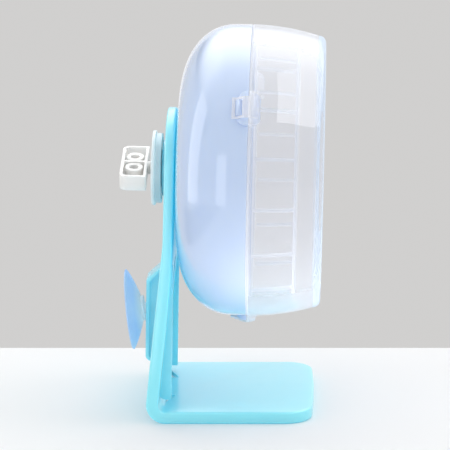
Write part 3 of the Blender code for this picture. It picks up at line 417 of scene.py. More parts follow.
class ShapeGraph(Graph):
    def __init__(self, name, **inputs):
        self.tree = bpy.data.node_groups.new(name, "GeometryNodeTree")
        self.tree.is_modifier = True
        face = self.tree.interface
        face.new_socket("Shape", in_out="INPUT", socket_type="NodeSocketGeometry")
        self.keys = {key: face.new_socket(key, in_out="INPUT", socket_type=f"NodeSocket{kind}").identifier
                     for key, kind in (inputs | dict(Finish="Material")).items()}
        face.new_socket("Shape", in_out="OUTPUT", socket_type="NodeSocketGeometry")
        self.given = self.tree.nodes.new("NodeGroupInput")

    def input(self, key):
        return Wire(self, self.given.outputs[key])

    def close(self, shape):
        real = self.add("GeometryNodeRealizeInstances", None, {0: shape})
        painted = self.add("GeometryNodeSetMaterial", None, {
            "Geometry": real, "Material": self.input("Finish")})
        self.add("NodeGroupOutput", None, {0: painted})

    def run(self, obj, **values):
        modifier = obj.modifiers.new("shape", "NODES")
        modifier.node_group = self.tree
        for key, value in values.items():
            modifier[self.keys[key]] = value
        return bake(obj)


aroundAxle = ShapeGraph("aroundAxle", Count="Int", Phase="Float")  # copies of a shape, turned round the axle
turnShare = aroundAxle.add("GeometryNodeInputIndex") / aroundAxle.input("Count")
copyTurn = aroundAxle.add("ShaderNodeCombineXYZ", None, {
    "Z": turnShare * (2 * pi) + aroundAxle.input("Phase")})
copyPoints = aroundAxle.add("GeometryNodePoints", None, {"Count": aroundAxle.input("Count")})
aroundAxle.close(aroundAxle.add("GeometryNodeInstanceOnPoints", None, {
    "Points": copyPoints, "Instance": aroundAxle.input("Shape"), "Rotation": copyTurn}))

screwThread = ShapeGraph("screwThread", Radius="Float", Pitch="Float", Turns="Float", Ridge="Float")
threadLine = screwThread.add("GeometryNodeCurveSpiral", None, {
    "Resolution": 32, "Rotations": screwThread.input("Turns"), "Start Radius": screwThread.input("Radius"),
    "End Radius": screwThread.input("Radius"),
    "Height": screwThread.input("Turns") * screwThread.input("Pitch")})
threadRidge = screwThread.add("GeometryNodeCurvePrimitiveCircle", None, {
    "Resolution": 6, "Radius": screwThread.input("Ridge")})
screwThread.close(screwThread.add("GeometryNodeCurveToMesh", None, {
    "Curve": threadLine, "Profile Curve": threadRidge, "Fill Caps": True}))


def around(obj, count, phase, material):
    return aroundAxle.run(obj, Count=count, Phase=phase, Finish=material)


def thread(name, radius, pitch, low, high, ridge, material):
    obj = newObject(name, bpy.data.meshes.new(name))
    screwThread.run(obj, Radius=radius, Pitch=pitch, Turns=(high - low) / pitch, Ridge=ridge, Finish=material)
    obj.data.transform(Matrix.Translation((0, 0, low)))
    return obj


# Views that slabs are drawn in

sideView = Matrix(((1, 0, 0, 0), (0, 0, -1, 0), (0, 1, 0, 0), (0, 0, 0, 1)))  # x, z -> X, Z
frontView = Matrix(((0, 0, 1, 0), (1, 0, 0, 0), (0, 1, 0, 0), (0, 0, 0, 1)))  # y, z -> Y, Z
treadView = sideView  # on the axle: radius, axial
surfaceView = frontView  # on the axle: around, axial


# Drum

drum = dict(
    radius=70, steps=180, arcStep=radians(15), rearDepth=34.5, rearStraight=7, flatRadius=32,
    curvePower=2.2, curveParts=22, rearWall=2.0, padSeatShare=0.7, spindleHole=8.0, bearingSeat=11.2,
    hubRadius=18.5, hubLength=9.0, hubFloor=3.0, hubRoot=1.2, screwHole=1.2, screwDepth=6.3)
cover = dict(
    frontDepth=35, frontWall=2.7, wall=1.8, arcStep=radians(12), bowRadius=109, bowParts=14, corner=3.5,
    cornerParts=8, innerRound=2.0, openingRadius=46, openingLip=1.6, openingShare=0.35,
    openingRound=1.1, lipRound=0.5, spigotLength=2.0, spigotWall=1.0, spigotRoot=1.8, padSeatShare=0.6,
    treadCount=18, treadPhase=radians(14.6), treadStart=2.6, treadEnd=22, treadParts=6, treadHeight=1.6,
    treadWidth=1.5, treadRound=0.5, treadEdge=0.35, ringWidth=1.2)
latch = dict(
    count=3, phase=radians(235.4), padWidth=16.8, padRear=5.8, padFront=5.6, padRound=4.6,
    padHeight=2.1, padBow=7.0, padEdge=0.22, bowParts=10, tongueWidth=10.4, tongueThickness=1.0,
    tongueReach=7.9, tongueRoot=4.0, tongueFootShare=0.25, tongueEdge=0.14, windowWidth=8.6,
    windowLength=3.2, windowRim=1.6, catchHeight=2.1, catchLand=0.8, catchRound=0.6, catchEdge=0.15)
clear = clearMoulding("clearPlastic", dict(
    colour=srgb(0.998, 0.997, 1.0), shade=srgb(0.988, 0.987, 0.992), roughness=0.02, spread=0.02, flow=14,
    fine=160, bump=0.07, ior=1.10, coatRoughness=0.02, milk=srgb(0.965, 0.97, 0.985),
    milkShade=srgb(0.975, 0.975, 0.98), edgePower=2.3, edgeMilk=0.6, haze=0.06, hazeSpread=0.04,
    mostMilk=0.85, lip=srgb(0.925, 0.965, 1.0), lipStart=31.5, lipPower=2, lipMilk=0.9,
    bow=cover["bowRadius"], bands=dict(
        seam=("along", -0.35, 0.9, 0.5), side=("along", 0.9, 31.5, 0.05), tongues=("along", -9, -2.1, 0.15),
        treads=("depth", 60, 68, 0.5), latches=("depth", 70.2, 80, 0.42)),
    shadow=srgb(0.98, 0.99, 1.0), shadowShare=0.97))
rearFace = -drum["rearDepth"]
hubFront = rearFace + drum["rearWall"] + drum["hubLength"] + gap
latchCentre = drum["radius"] + latch["padHeight"] - latch["padBow"]
windowRear = -latch["tongueReach"] + latch["windowRim"]
windowFront = windowRear + latch["windowLength"]


def bowOut(axial):
    return drum["radius"] - cover["bowRadius"] + sqrt(cover["bowRadius"] ** 2 - axial ** 2)


def rearCurve(wall):
    width = drum["radius"] - drum["flatRadius"] - wall
    depth = drum["rearDepth"] - drum["rearStraight"] - wall
    power = 2 / drum["curvePower"]
    angles = [pi / 2 * k / drum["curveParts"] for k in range(drum["curveParts"] + 1)]
    return [(drum["flatRadius"] + width * max(cos(angle), 0) ** power,
             -drum["rearStraight"] - depth * max(sin(angle), 0) ** power) for angle in angles]


def latchArc(radius, start, end, parts):
    first = asin(start / radius)
    step = (asin(end / radius) - first) / parts
    return [(latchCentre + radius * cos(first + step * k), radius * sin(first + step * k))
            for k in range(parts + 1)]


def latchReach(radius, height):
    return sqrt(radius ** 2 - (height - latchCentre) ** 2)


def latchPad(name, inside, start, end):
    half, turn = latch["padWidth"] / 2, latch["padRound"]
    foot = latchReach(latch["padBow"], inside) * (1 if end > 0 else -1)
    bow = latchArc(latch["padBow"], start, foot, latch["bowParts"])
    pad = slab(name, [(inside, start)] + bow, -half, half, treadView)
    plan = rounded([(-half, start), (-half, end, turn), (half, end, turn), (half, start)])
    common(pad, slab("padPlan", plan, inside - overrun, drum["radius"] + overrun, surfaceView))
    return softenEdges(pad, latch["padEdge"])


def onLatches(obj, material):
    return around(obj, latch["count"], latch["phase"], material)


def makeRearShell():
    d = drum
    floor = rearFace + d["hubFloor"]
    profile = [(d["radius"], -gap, rimEdge)] + rearCurve(0)
    profile += [(d["spindleHole"], rearFace, softEdge), (d["spindleHole"], floor), (d["bearingSeat"], floor),
                (d["bearingSeat"], hubFront, softEdge), (d["hubRadius"], hubFront, softEdge),
                (d["hubRadius"], rearFace + d["rearWall"], d["hubRoot"])]
    profile += rearCurve(d["rearWall"])[::-1] + [(d["radius"] - d["rearWall"], -gap, rimEdge)]
    shell = turned("rearDrumShell", profile, d["steps"], d["arcStep"])

    seat = d["radius"] - d["rearWall"] * d["padSeatShare"]
    pads = latchPad("latchPadsRear", seat, -gap, -latch["padRear"])
    front, rear = windowFront - gap, windowRear + gap
    top = d["radius"] + latch["catchHeight"]
    ramp = latchArc(latch["padBow"], front, front, 1)[0][0] + gap / 2
    outline = [(seat, front), (seat, rear), (top, rear, rimEdge),
               (top, rear + latch["catchLand"], latch["catchRound"]), (ramp, front)]
    half = latch["windowWidth"] / 2 - gap
    catches = softenEdges(slab("latchCatches", rounded(outline), -half, half, treadView), latch["catchEdge"])
    join(shell, onLatches(pads, lilac), onLatches(catches, lilac))
    hole = rod("hubScrewHoles", d["screwHole"], hubFront - d["screwDepth"], hubFront + overrun,
               Matrix.Translation((cap["circle"], 0, 0)), 32)
    cut(shell, around(hole, cap["screws"], cap["phase"], lilac))
    setDown(shell, lilac, axleFrame, "wheel", "lilac_plastic", "rear_shell")
    print("rear shell:", len(shell.data.polygons), "faces")


def makeClearCover():
    c = cover
    cornerAxial = c["frontDepth"] - c["corner"]
    cornerRadial = bowOut(cornerAxial) - c["corner"]
    innerFront = c["frontDepth"] - c["frontWall"]
    heights = [cornerAxial * k / c["bowParts"] for k in range(c["bowParts"] + 1)]
    ringStart, ringEnd = c["treadEnd"] - c["ringWidth"] / 2, c["treadEnd"] + c["ringWidth"] / 2
    spigotOuter = drum["radius"] - drum["rearWall"] - gap
    spigotInner = spigotOuter - c["spigotWall"]
    root = c["spigotRoot"]

    def inside(h, extra=0):
        return bowOut(h) - c["wall"] - extra

    profile = [(c["openingRadius"], innerFront + c["frontWall"] * c["openingShare"]),
               (c["openingRadius"], c["frontDepth"], c["openingRound"])]
    profile += arc((cornerRadial, cornerAxial), c["corner"], pi / 2, 0, c["cornerParts"])
    profile += [(bowOut(h), h) for h in reversed(heights[1:-1])] + [(bowOut(0), 0, rimEdge)]
    profile += [(spigotOuter, 0), (spigotOuter, -c["spigotLength"], rimEdge),
                (spigotInner, -c["spigotLength"], plainEdge), (spigotInner, root, plainEdge),
                (inside(root), root, plainEdge)]
    profile += [(inside(h), h) for h in heights if root + softEdge < h < ringStart - c["ringWidth"]]
    profile += [(inside(ringStart), ringStart, plainEdge),
                (inside(ringStart, c["treadHeight"]), ringStart, softEdge),
                (inside(ringEnd, c["treadHeight"]), ringEnd, softEdge), (inside(ringEnd), ringEnd, plainEdge)]
    profile += [(inside(h), h) for h in heights
                if ringEnd + c["ringWidth"] < h < innerFront - c["innerRound"]]
    profile += [(cornerRadial + c["corner"] - c["wall"], innerFront, c["innerRound"]),
                (c["openingRadius"] + c["openingLip"], innerFront, c["lipRound"]),
                (c["openingRadius"], innerFront - c["openingLip"], plainEdge)]
    body = turned("clearCover", profile, drum["steps"], c["arcStep"])

    step = (c["treadEnd"] - c["treadStart"]) / c["treadParts"]
    spots = [c["treadStart"] + step * k for k in range(c["treadParts"] + 1)]
    top = [(inside(s, c["treadHeight"]), s) for s in spots]
    outline = [top[0] + (c["treadRound"],)] + top[1:]
    outline += [(bowOut(s) - c["wall"] / 2, s) for s in reversed(spots)]
    treads = slab("runningTreads", rounded(outline), -c["treadWidth"] / 2, c["treadWidth"] / 2, treadView)
    around(softenEdges(treads, c["treadEdge"]), c["treadCount"], c["treadPhase"], clear)

    pads = latchPad("latchPadsFront", drum["radius"] - c["wall"] * c["padSeatShare"], 0, latch["padFront"])
    innerBow = latch["padBow"] + gap
    outerBow = innerBow + latch["tongueThickness"]
    low = drum["radius"] + gap
    high = low + latch["tongueThickness"]
    foot = drum["radius"] + latch["padHeight"] * latch["tongueFootShare"]
    outline = [(foot, latch["tongueRoot"]), (foot, gap)]
    outline += latchArc(innerBow, gap, -latchReach(innerBow, low), latch["bowParts"])
    outline += [(low, -latch["tongueReach"]), (high, -latch["tongueReach"])]
    outline += latchArc(outerBow, -latchReach(outerBow, high), latch["tongueRoot"], latch["bowParts"])
    half, halfWindow = latch["tongueWidth"] / 2, latch["windowWidth"] / 2
    tongues = slab("latchTongues", outline, -half, half, treadView)
    window = rectangle(-halfWindow, windowRear, halfWindow, windowFront, plainEdge)
    cut(tongues, slab("latchWindows", window, drum["radius"], drum["radius"] + overrun, surfaceView))
    softenEdges(tongues, latch["tongueEdge"])
    join(body, treads, onLatches(pads, clear), onLatches(tongues, clear))
    setDown(body, clear, axleFrame, "wheel", "clear_plastic", "front_cover")
    print("clear cover:", len(body.data.polygons), "faces")


# Bearing

bearing = dict(
    radius=11, bore=4, width=7, steps=96, balls=7, ballRadius=1.95, ballSegments=28, ballRings=18,
    circle=7.5, land=1.4, grooveParts=6, cageWall=0.6, cageHalf=2.7, cageSteps=98, cageEdge=0.15,
    pocketReach=2, shield=0.3, shieldEdge=0.1, chamfer=0.35)
bearingRear = rearFace + drum["hubFloor"] + gap
bearingFront = bearingRear + bearing["width"]
bearingMiddle = (bearingRear + bearingFront) / 2


def groove(land):  # the balls' track in a race, from its front to its rear
    b = bearing
    track = b["ballRadius"] + fitGap
    side = 1 if land > b["circle"] else -1
    start = pi / 2 - asin(abs(land - b["circle"]) / track)
    angles = [start - start * k / b["grooveParts"] for k in range(2 * b["grooveParts"] + 1)]
    return [(b["circle"] + side * track * cos(angle), bearingMiddle + track * sin(angle)) for angle in angles]


def makeBearing():
    b = bearing
    inner, outer = b["circle"] - b["land"], b["circle"] + b["land"]
    track = [(inner, bearingFront)] + groove(inner) + [(inner, bearingRear)]
    race = turned("bearingInnerRace", track + [
        (b["bore"], bearingRear, b["chamfer"]), (b["bore"], bearingFront, b["chamfer"])], b["steps"])
    setDown(race, steel, axleFrame, "stand", "bearing_steel", "bearing_inner_race")
    track = [(outer, bearingRear)] + groove(outer)[::-1] + [(outer, bearingFront)]
    outside = [(b["radius"], bearingFront, b["chamfer"]), (b["radius"], bearingRear, b["chamfer"])]
    race = turned("bearingOuterRace", outside + track, b["steps"])
    setDown(race, steel, axleFrame, "wheel", "bearing_steel", "bearing_outer_race")

    half, tall = b["cageWall"] / 2, b["cageHalf"]
    cage = flatRing("ballCage", b["circle"] + half, b["circle"] - half,
                    bearingMiddle - tall, bearingMiddle + tall, b["cageEdge"], b["cageSteps"])
    ballPlace = Matrix.Translation((b["circle"], 0, bearingMiddle))
    pockets = rod("cagePockets", b["ballRadius"] + fitGap, -b["pocketReach"], b["pocketReach"],
                  ballPlace @ Matrix.Rotation(pi / 2, 4, "Y"), 32)
    cut(cage, around(pockets, b["balls"], 0, cageSteel))
    setDown(cage, cageSteel, axleFrame, "ball_cage", "cage_steel", "ball_cage")

    shape = bmesh.new()
    bmesh.ops.create_uvsphere(shape, u_segments=b["ballSegments"], v_segments=b["ballRings"],
                              radius=b["ballRadius"], matrix=ballPlace)
    balls = around(meshObject("bearingBalls", shape), b["balls"], 0, steel)
    nodes = [f"bearing_ball_{k + 1}" for k in range(b["balls"])]
    setDown(balls, steel, axleFrame, "ball_cage", "bearing_steel", *nodes, smooth=pi)

    near, far = inner + whole["runningGap"] / 3, outer - fitGap
    rearLow, frontLow = bearingRear + fitGap, bearingFront - fitGap - b["shield"]
    for name, node, low in (("bearingShieldRear", "bearing_shield_rear", rearLow),
                            ("bearingShieldFront", "bearing_shield_front", frontLow)):
        shield = flatRing(name, far, near, low, low + b["shield"], b["shieldEdge"], b["steps"])
        setDown(shield, steel, axleFrame, "wheel", "bearing_steel", node)
    print("bearing ready")


# Spindle, washer, hub cap and their screws

fixings = dict(
    steps=96, washerSteps=72, screwSteps=64, rearRadius=5, rearRound=0.5, collarRadius=7,
    threadHole=2.8, threadDepth=7.5, journal=3.8, tapped=1.6, reach=4.5, washerRadius=5.8, washer=1.0,
    screwRadius=1.4, tipEdge=0.4, headRadius=2.9, head=2.0, headRound=1.0, headEdge=0.2,
    crossRadius=1.9, crossWide=0.7, crossDeep=0.9, crossTurn=0.4)
cap = dict(
    steps=120, screwSteps=48, thickness=2.0, topRound=0.9, skirtWall=1.5, domeRadius=9.2,
    domeHeight=5.3, domeWall=1.6, domeFlatShare=0.6, domeRound=3.0, shoulderShare=0.94,
    shoulderDrop=1.1, shoulderRound=1.6, domeFoot=0.6, innerDrop=2.7, innerFlatShare=0.54,
    innerRound=0.8, screws=3, phase=radians(54), circle=14.8, reach=6.0, screwRadius=1.0, tipEdge=0.3,
    headRadius=2.3, head=1.4, headRound=0.9, headEdge=0.15, crossRadius=1.4, crossWide=0.5,
    crossDeep=0.7)


def headedScrew(name, s, headLow, tip):  # a round head with a cross recess, on a plain shank
    top = headLow + s["head"]
    screw = turned(name, [
        (0, top), (s["headRadius"], top, s["headRound"]), (s["headRadius"], headLow, s["headEdge"]),
        (s["screwRadius"], headLow), (s["screwRadius"], tip, s["tipEdge"]), (0, tip)],
        s["screwSteps"])
    arm = rectangle(-s["crossRadius"], -s["crossWide"] / 2, s["crossRadius"], s["crossWide"] / 2)
    for quarter in (0, pi / 2):
        cut(screw, slab("crossArm", arm, top - s["crossDeep"], top + overrun,
                        Matrix.Rotation(quarter + fixings["crossTurn"], 4, "Z")))
    return screw


def makeSpindle():
    f = fixings
    collarRear, collarFront = headFront + gap, bearingRear - gap
    front, rear = bearingFront - gap, bossBack + gap
    holeEnd = front - f["reach"] - gap
    body = turned("axleSpindle", [
        (0, holeEnd), (f["tapped"], holeEnd), (f["tapped"], front, fineEdge), (f["journal"], front, softEdge),
        (f["journal"], collarFront), (f["collarRadius"], collarFront, softEdge),
        (f["collarRadius"], collarRear, softEdge), (f["rearRadius"], collarRear),
        (f["rearRadius"], rear, f["rearRound"]), (f["threadHole"], rear, softEdge),
        (f["threadHole"], rear + f["threadDepth"]), (0, rear + f["threadDepth"])], f["steps"])
    setDown(body, white, axleFrame, "stand", "white_plastic", "axle_spindle")

    low = bearingFront + gap
    high = low + f["washer"]
    washer = turned("axleWasher", [
        (f["washerRadius"], high, plainEdge), (f["washerRadius"], low, plainEdge),
        (f["tapped"], low, fineEdge), (f["tapped"], high, fineEdge)], f["washerSteps"])
    setDown(washer, zinc, axleFrame, "stand", "screw_steel", "axle_washer")

    screw = headedScrew("axleScrew", f, high + gap, front - f["reach"])
    setDown(screw, zinc, axleFrame, "stand", "screw_steel", "axle_screw")
    print("spindle ready")


def makeHubCap():
    c = cap
    low = hubFront + gap
    top = low + c["thickness"]
    skirtLow = bearingFront + gap
    skirtOuter = bearing["radius"] - fitGap
    skirtInner = skirtOuter - c["skirtWall"]
    dome, domeTop = c["domeRadius"], top + c["domeHeight"]
    domeInner = dome - c["domeWall"]
    body = turned("hubCap", [
        (0, domeTop), (dome * c["domeFlatShare"], domeTop, c["domeRound"]),
        (dome * c["shoulderShare"], domeTop - c["shoulderDrop"], c["shoulderRound"]),
        (dome, top, c["domeFoot"]), (drum["hubRadius"], top, c["topRound"]),
        (drum["hubRadius"], low, fineEdge), (skirtOuter, low), (skirtOuter, skirtLow, plainEdge),
        (skirtInner, skirtLow, fineEdge), (skirtInner, low), (domeInner, low),
        (domeInner, domeTop - c["innerDrop"], c["innerRound"]),
        (dome * c["innerFlatShare"], domeTop - c["domeWall"], c["innerRound"]),
        (0, domeTop - c["domeWall"])], c["steps"])
    screwPlace = Matrix.Translation((c["circle"], 0, 0))
    hole = rod("capScrewHoles", c["screwRadius"] + fitGap, low - overrun, top + overrun, screwPlace, 32)
    cut(body, around(hole, c["screws"], c["phase"], lilac))
    setDown(body, lilac, axleFrame, "wheel", "lilac_plastic", "hub_cap")

    screw = headedScrew("capScrews", c, top + gap, hubFront - c["reach"])
    screw.data.transform(screwPlace)
    around(screw, c["screws"], c["phase"], zinc)
    nodes = [f"cap_screw_{k + 1}" for k in range(c["screws"])]
    setDown(screw, zinc, axleFrame, "wheel", "screw_steel", *nodes)
    print("hub cap ready")


# Clamp disc and thumb screw

disc = dict(
    steps=144, radius=18, flange=1.8, edge=0.5, drumRadius=16.85, drumDepth=2.9, drumEdge=0.35,
    rear=47.0, wall=1.55, floor=1.8, hubRadius=9.0, hole=2.8)
grip = dict(
    steps=56, length=32.8, width=12.85, thickness=7.6, drop=0.4, standoff=2.25, round=3.4,
    innerRound=0.8, wall=1.5, pocket=5.0, pocketRound=0.5, web=1.6, tubeOffset=5.5, tubeRadius=4.3,
    tubeBore=2.1, turn=radians(15.7), neck=3.2, shank=2.4, shankReach=11.8, tip=0.8, edge=0.3,
    pitch=1.5, ridge=0.28, ridgeSeat=0.02, threadStart=1.2, threadEnd=1.0)
gripRear = disc["rear"] + grip["standoff"] + grip["width"]


def makeClampDisc():
    d = disc
    rear, hubEnd = -d["rear"], bossBack - gap
    flangeFront = rear + d["flange"]
    drumFront = flangeFront + d["drumDepth"]
    floor, cupWall = rear + d["floor"], d["drumRadius"] - d["wall"]
    body = turned("clampDisc", [
        (d["drumRadius"], drumFront, d["drumEdge"]), (d["drumRadius"], flangeFront, plainEdge),
        (d["radius"], flangeFront, d["edge"]), (d["radius"], rear, d["edge"]), (d["hole"], rear, plainEdge),
        (d["hole"], hubEnd, plainEdge), (d["hubRadius"], hubEnd, softEdge),
        (d["hubRadius"], floor, d["edge"]), (cupWall, floor, d["edge"]),
        (cupWall, drumFront, d["drumEdge"])], d["steps"])
    # the white disc wears the copy of white with the stand's cyan bounce and shade painted in
    setDown(body, pale, axleFrame, "clamp", "white_plastic", "clamp_disc")


def makeThumbScrew():
    g = grip
    longWay, axial = Vector((sin(g["turn"]), -cos(g["turn"]), 0)), Vector((0, 0, 1))
    gripPlace = Matrix((longWay, axial, longWay.cross(axial))).transposed().to_4x4()
    front = -disc["rear"] - g["standoff"]
    half = g["length"] / 2
    rim = g["thickness"] / 2 - g["drop"]
    outline = rounded([(-half, front, g["innerRound"]), (-half, -gripRear, g["round"]),
                       (half, -gripRear, g["round"]), (half, front, g["innerRound"])])
    body = softenEdges(slab("thumbScrew", outline, rim - g["thickness"], rim), g["edge"], segments=3)
    floor, end, web, turn = rim - g["pocket"], half - g["wall"], g["web"] / 2, g["pocketRound"]
    pocketFront, pocketRear = front - g["wall"], -gripRear + g["wall"]
    for side in (1, -1):
        pocket = rounded([(side * web, pocketFront, turn), (side * web, pocketRear, turn),
                          (side * end, pocketRear, g["round"] - g["wall"]), (side * end, pocketFront, turn)])
        cut(body, slab("gripPocket", pocket, floor, rim + overrun))
    foot = floor - g["wall"] / 2
    for side in (1, -1):
        tube = turned("gripTube", [(g["tubeRadius"], rim - gap, rimEdge), (g["tubeRadius"], foot),
                                   (g["tubeBore"], foot), (g["tubeBore"], rim - gap, rimEdge)], g["steps"])
        tube.data.transform(Matrix.Translation((side * g["tubeOffset"], (front - gripRear) / 2, 0)))
        join(body, tube)
    body.data.transform(gripPlace)

    neckFront, neckRear = -disc["rear"] - gap, front - g["wall"] / 2
    shankFront = neckFront + g["shankReach"]
    shank = turned("screwShank", [
        (0, shankFront), (g["shank"], shankFront, g["tip"]), (g["shank"], neckFront),
        (g["neck"], neckFront, plainEdge), (g["neck"], neckRear), (0, neckRear)], g["steps"])
    join(body, shank)
    ridges = thread("shankThread", g["shank"] + g["ridgeSeat"], g["pitch"], neckFront + g["threadStart"],
                    shankFront - g["threadEnd"], g["ridge"], white)
    body = weld("thumbScrewPiece", body, ridges)
    setDown(body, white, axleFrame, "thumb_screw", "white_plastic", "thumb_screw")
    print("clamp ready")


# Stand

stand = dict(
    smooth=radians(28), headParts=56, legArcStep=radians(3), planArcStep=radians(5), bossSteps=120,
    boreSteps=72, headRadius=29.5, headThickness=4.6, bendDrop=29.3, legLean=radians(6.2),
    thickness=5.8, width=92, front=30.9, corner=13, bow=1.5, bowRound=600, flareHeight=24,
    flareRound=30, bendRound=30, rootRound=9, skin=2.2, rim=2.2, edge=1.2, bossRadius=13.5,
    bossDepth=2.0, bossRound=0.6, ribSpread=31, ribThickness=1.8, ribProud=0.5, ribFootGap=2.3,
    ribFootRound=4, ribRound=0.6, ribTopDrop=40, windowInner=15.7, windowOuter=28.4, windowFront=36.3,
    windowBack=40.6, windowReach=2)
bracket = dict(
    back=49, rise=15.5, shoulderRound=0.8, footShare=0.372, footRoundShare=0.852, width=16, wall=1.7,
    sideRecess=1.4, sideWall=1.2, edge=0.35, cupDrop=68.2, entryRise=8.2, entrySteps=48, neck=3.3,
    neckRoundShare=0.98, entry=5.3, keyholeReach=1)
headFront = rearFace - whole["runningGap"]
headBack = headFront - stand["headThickness"]
bossBack = headBack - stand["bossDepth"]
cupZ = axleHeight - bracket["cupDrop"]


def leanX(axial, z):
    return seamX + (axial + (z - axleHeight) * sin(lean)) / cos(lean)


def legX(z, setback):
    bend = axleHeight - stand["bendDrop"]
    return leanX(headBack, bend) + (z - bend) * tan(stand["legLean"]) + setback


def sideOutline(skin, proud):
    s = stand
    frontSet = s["thickness"] - skin
    top = axleHeight + s["headRadius"] + overrun
    bend = axleHeight - s["bendDrop"]
    slope = tan(s["legLean"]) - tan(lean)
    frontBend = bend - (legX(bend, frontSet) - leanX(headFront - skin, bend)) / slope
    back = headBack - proud
    reach = seamX + s["front"] + overrun
    return rounded([
        (leanX(back, top), top), (leanX(back, bend), bend, s["bendRound"]),
        (legX(-proud, -proud), -proud, 0 if proud else s["rootRound"]), (reach, -proud), (reach, frontSet),
        (legX(frontSet, frontSet), frontSet, s["rootRound"] - frontSet),
        (legX(frontBend, frontSet), frontBend, s["bendRound"]), (leanX(headFront - skin, top), top)])


def frontOutline(inset):
    s = stand
    radius, half = s["headRadius"] - inset, s["width"] / 2 - inset
    centre = axleHeight - (headFront + headBack) / 2 * sin(lean)
    drop = centre - s["flareHeight"]
    reach = sqrt(half ** 2 + drop ** 2)
    tangent = atan2(-drop, half) + asin(sqrt(reach ** 2 - radius ** 2) / reach)
    head = arc((0, centre), radius, tangent, pi - tangent, s["headParts"])
    legs = rounded([(-half, s["flareHeight"], s["flareRound"]), (-half, -overrun), (half, -overrun),
                    (half, s["flareHeight"], s["flareRound"]), head[0], head[-1]], s["legArcStep"])
    return head[1:-1] + [legs[-1]] + legs[:-1]


def planOutline(inset):
    s = stand
    half, front = s["width"] / 2 - inset, seamX + s["front"] - inset
    back = legX(0, -s["thickness"] - overrun)
    corner = s["corner"] - inset
    return rounded([(back, -half), (front - s["bow"], -half, corner), (front, 0, s["bowRound"]),
                    (front - s["bow"], half, corner), (back, half)], s["planArcStep"])


def bracketOutline(inset, front):
    b = bracket
    shoulder = cupZ + b["rise"]
    foot = stand["thickness"] + (cupZ - stand["thickness"]) * b["footShare"]
    back = inset - b["back"]
    shift = inset * tan(pi / 8)
    backTop = leanX(back, shoulder)
    footRound = (legX(foot, 0) - leanX(-b["back"], foot)) * b["footRoundShare"]
    low = foot + inset
    top = shoulder + front(shoulder) - backTop - shift
    return rounded([(front(top), top), (backTop, shoulder - shift, b["shoulderRound"]),
                    (leanX(back, low), low, footRound - inset), (front(low), low)])


def bracketSlab(name, inset, front, low, high):
    return slab(name, bracketOutline(inset, front), low, high, sideView)


def cupFrame():
    place = Matrix.Translation((leanX(-bracket["back"], cupZ), 0, cupZ))
    return place @ Matrix.Rotation(-pi / 2 + lean, 4, "Y")


def makeStand():
    s, b = stand, bracket
    reach = s["width"] / 2 + overrun
    rear = legX(0, -s["thickness"] - overrun)
    front = seamX + s["front"] + overrun * 2
    top = axleHeight + s["headRadius"] + overrun * 2
    body = slab("standMoulding", sideOutline(0, 0), -reach, reach, sideView)
    common(body, slab("standFront", frontOutline(0), rear, front, frontView),
           slab("standPlan", planOutline(0), -overrun, top))
    softenEdges(body, s["edge"], segments=4, limit=radians(60))
    hollow = slab("standHollow", sideOutline(s["skin"], overrun), -reach, reach, sideView)
    common(hollow, slab("hollowFront", frontOutline(s["rim"]), rear * 2, front, frontView),
           slab("hollowPlan", planOutline(s["rim"]), -overrun * 2, top))
    cut(body, hollow)
    bossFront = headFront - s["skin"] / 2
    boss = turned("headBoss", [(0, bossBack), (s["bossRadius"], bossBack, s["bossRound"]),
                               (s["bossRadius"], bossFront), (0, bossFront)], s["bossSteps"])
    boss.data.transform(axlePlace)
    join(body, boss)

    middle = s["thickness"] - s["skin"] / 2
    ribTop, ribFoot = axleHeight - s["ribTopDrop"], s["thickness"] + s["ribFootGap"]
    ribFront = headFront + s["ribProud"]
    rib = rounded([(legX(ribTop, middle), ribTop), (legX(ribFoot, middle), ribFoot, s["ribFootRound"]),
                   (leanX(ribFront, ribFoot), ribFoot, s["ribRound"]), (leanX(ribFront, ribTop), ribTop)])
    for side in (-1, 1):
        low = side * s["ribSpread"] - s["ribThickness"] / 2
        join(body, slab("legRib", rib, low, low + s["ribThickness"], sideView))

    half = b["width"] / 2
    recess = half - b["sideRecess"]
    cavity = recess - b["sideWall"]
    hook = softenEdges(bracketSlab("cupBracket", 0, lambda z: legX(z, middle), -half, half), b["edge"])
    for low, high in ((recess, half + overrun), (-half - overrun, -recess)):
        cut(hook, bracketSlab("bracketRecess", b["wall"], lambda z: legX(z, -gap), low, high))
    join(body, hook)
    cut(body, bracketSlab("bracketCavity", b["wall"], lambda z: legX(z, s["thickness"] + overrun),
                          -cavity, cavity))
    depth, neck, rise = b["wall"] + b["keyholeReach"], b["neck"], b["entryRise"]
    entryPlace = cupFrame() @ Matrix.Translation((rise, 0, 0))
    entry = rod("keyholeEntry", b["entry"], -depth, overrun, entryPlace, b["entrySteps"])
    neckRound = neck * b["neckRoundShare"]
    slot = rounded([(-neck, -neck, neckRound), (rise, -neck), (rise, neck), (-neck, neck, neckRound)])
    cut(body, entry, slab("keyholeSlot", slot, -depth, overrun, cupFrame()))
    bore = fixings["rearRadius"] + gap
    cut(body, rod("headBore", bore, bossBack - overrun, headFront + overrun, axlePlace, s["boreSteps"]))
    windowFront, windowBack = seamX - s["windowFront"], seamX - s["windowBack"]
    for side in (-1, 1):
        inner, outer = side * s["windowInner"], side * s["windowOuter"]
        cut(body, slab("rootWindow", [(windowFront, inner), (windowBack, inner), (windowBack, outer)],
                       s["thickness"] - s["skin"] - s["windowReach"], s["thickness"] + s["windowReach"]))
    setDown(body, cyan, groundFrame, "stand", "cyan_plastic", "stand", smooth=s["smooth"])
    print("stand:", len(body.data.polygons), "faces")


# Suction cup

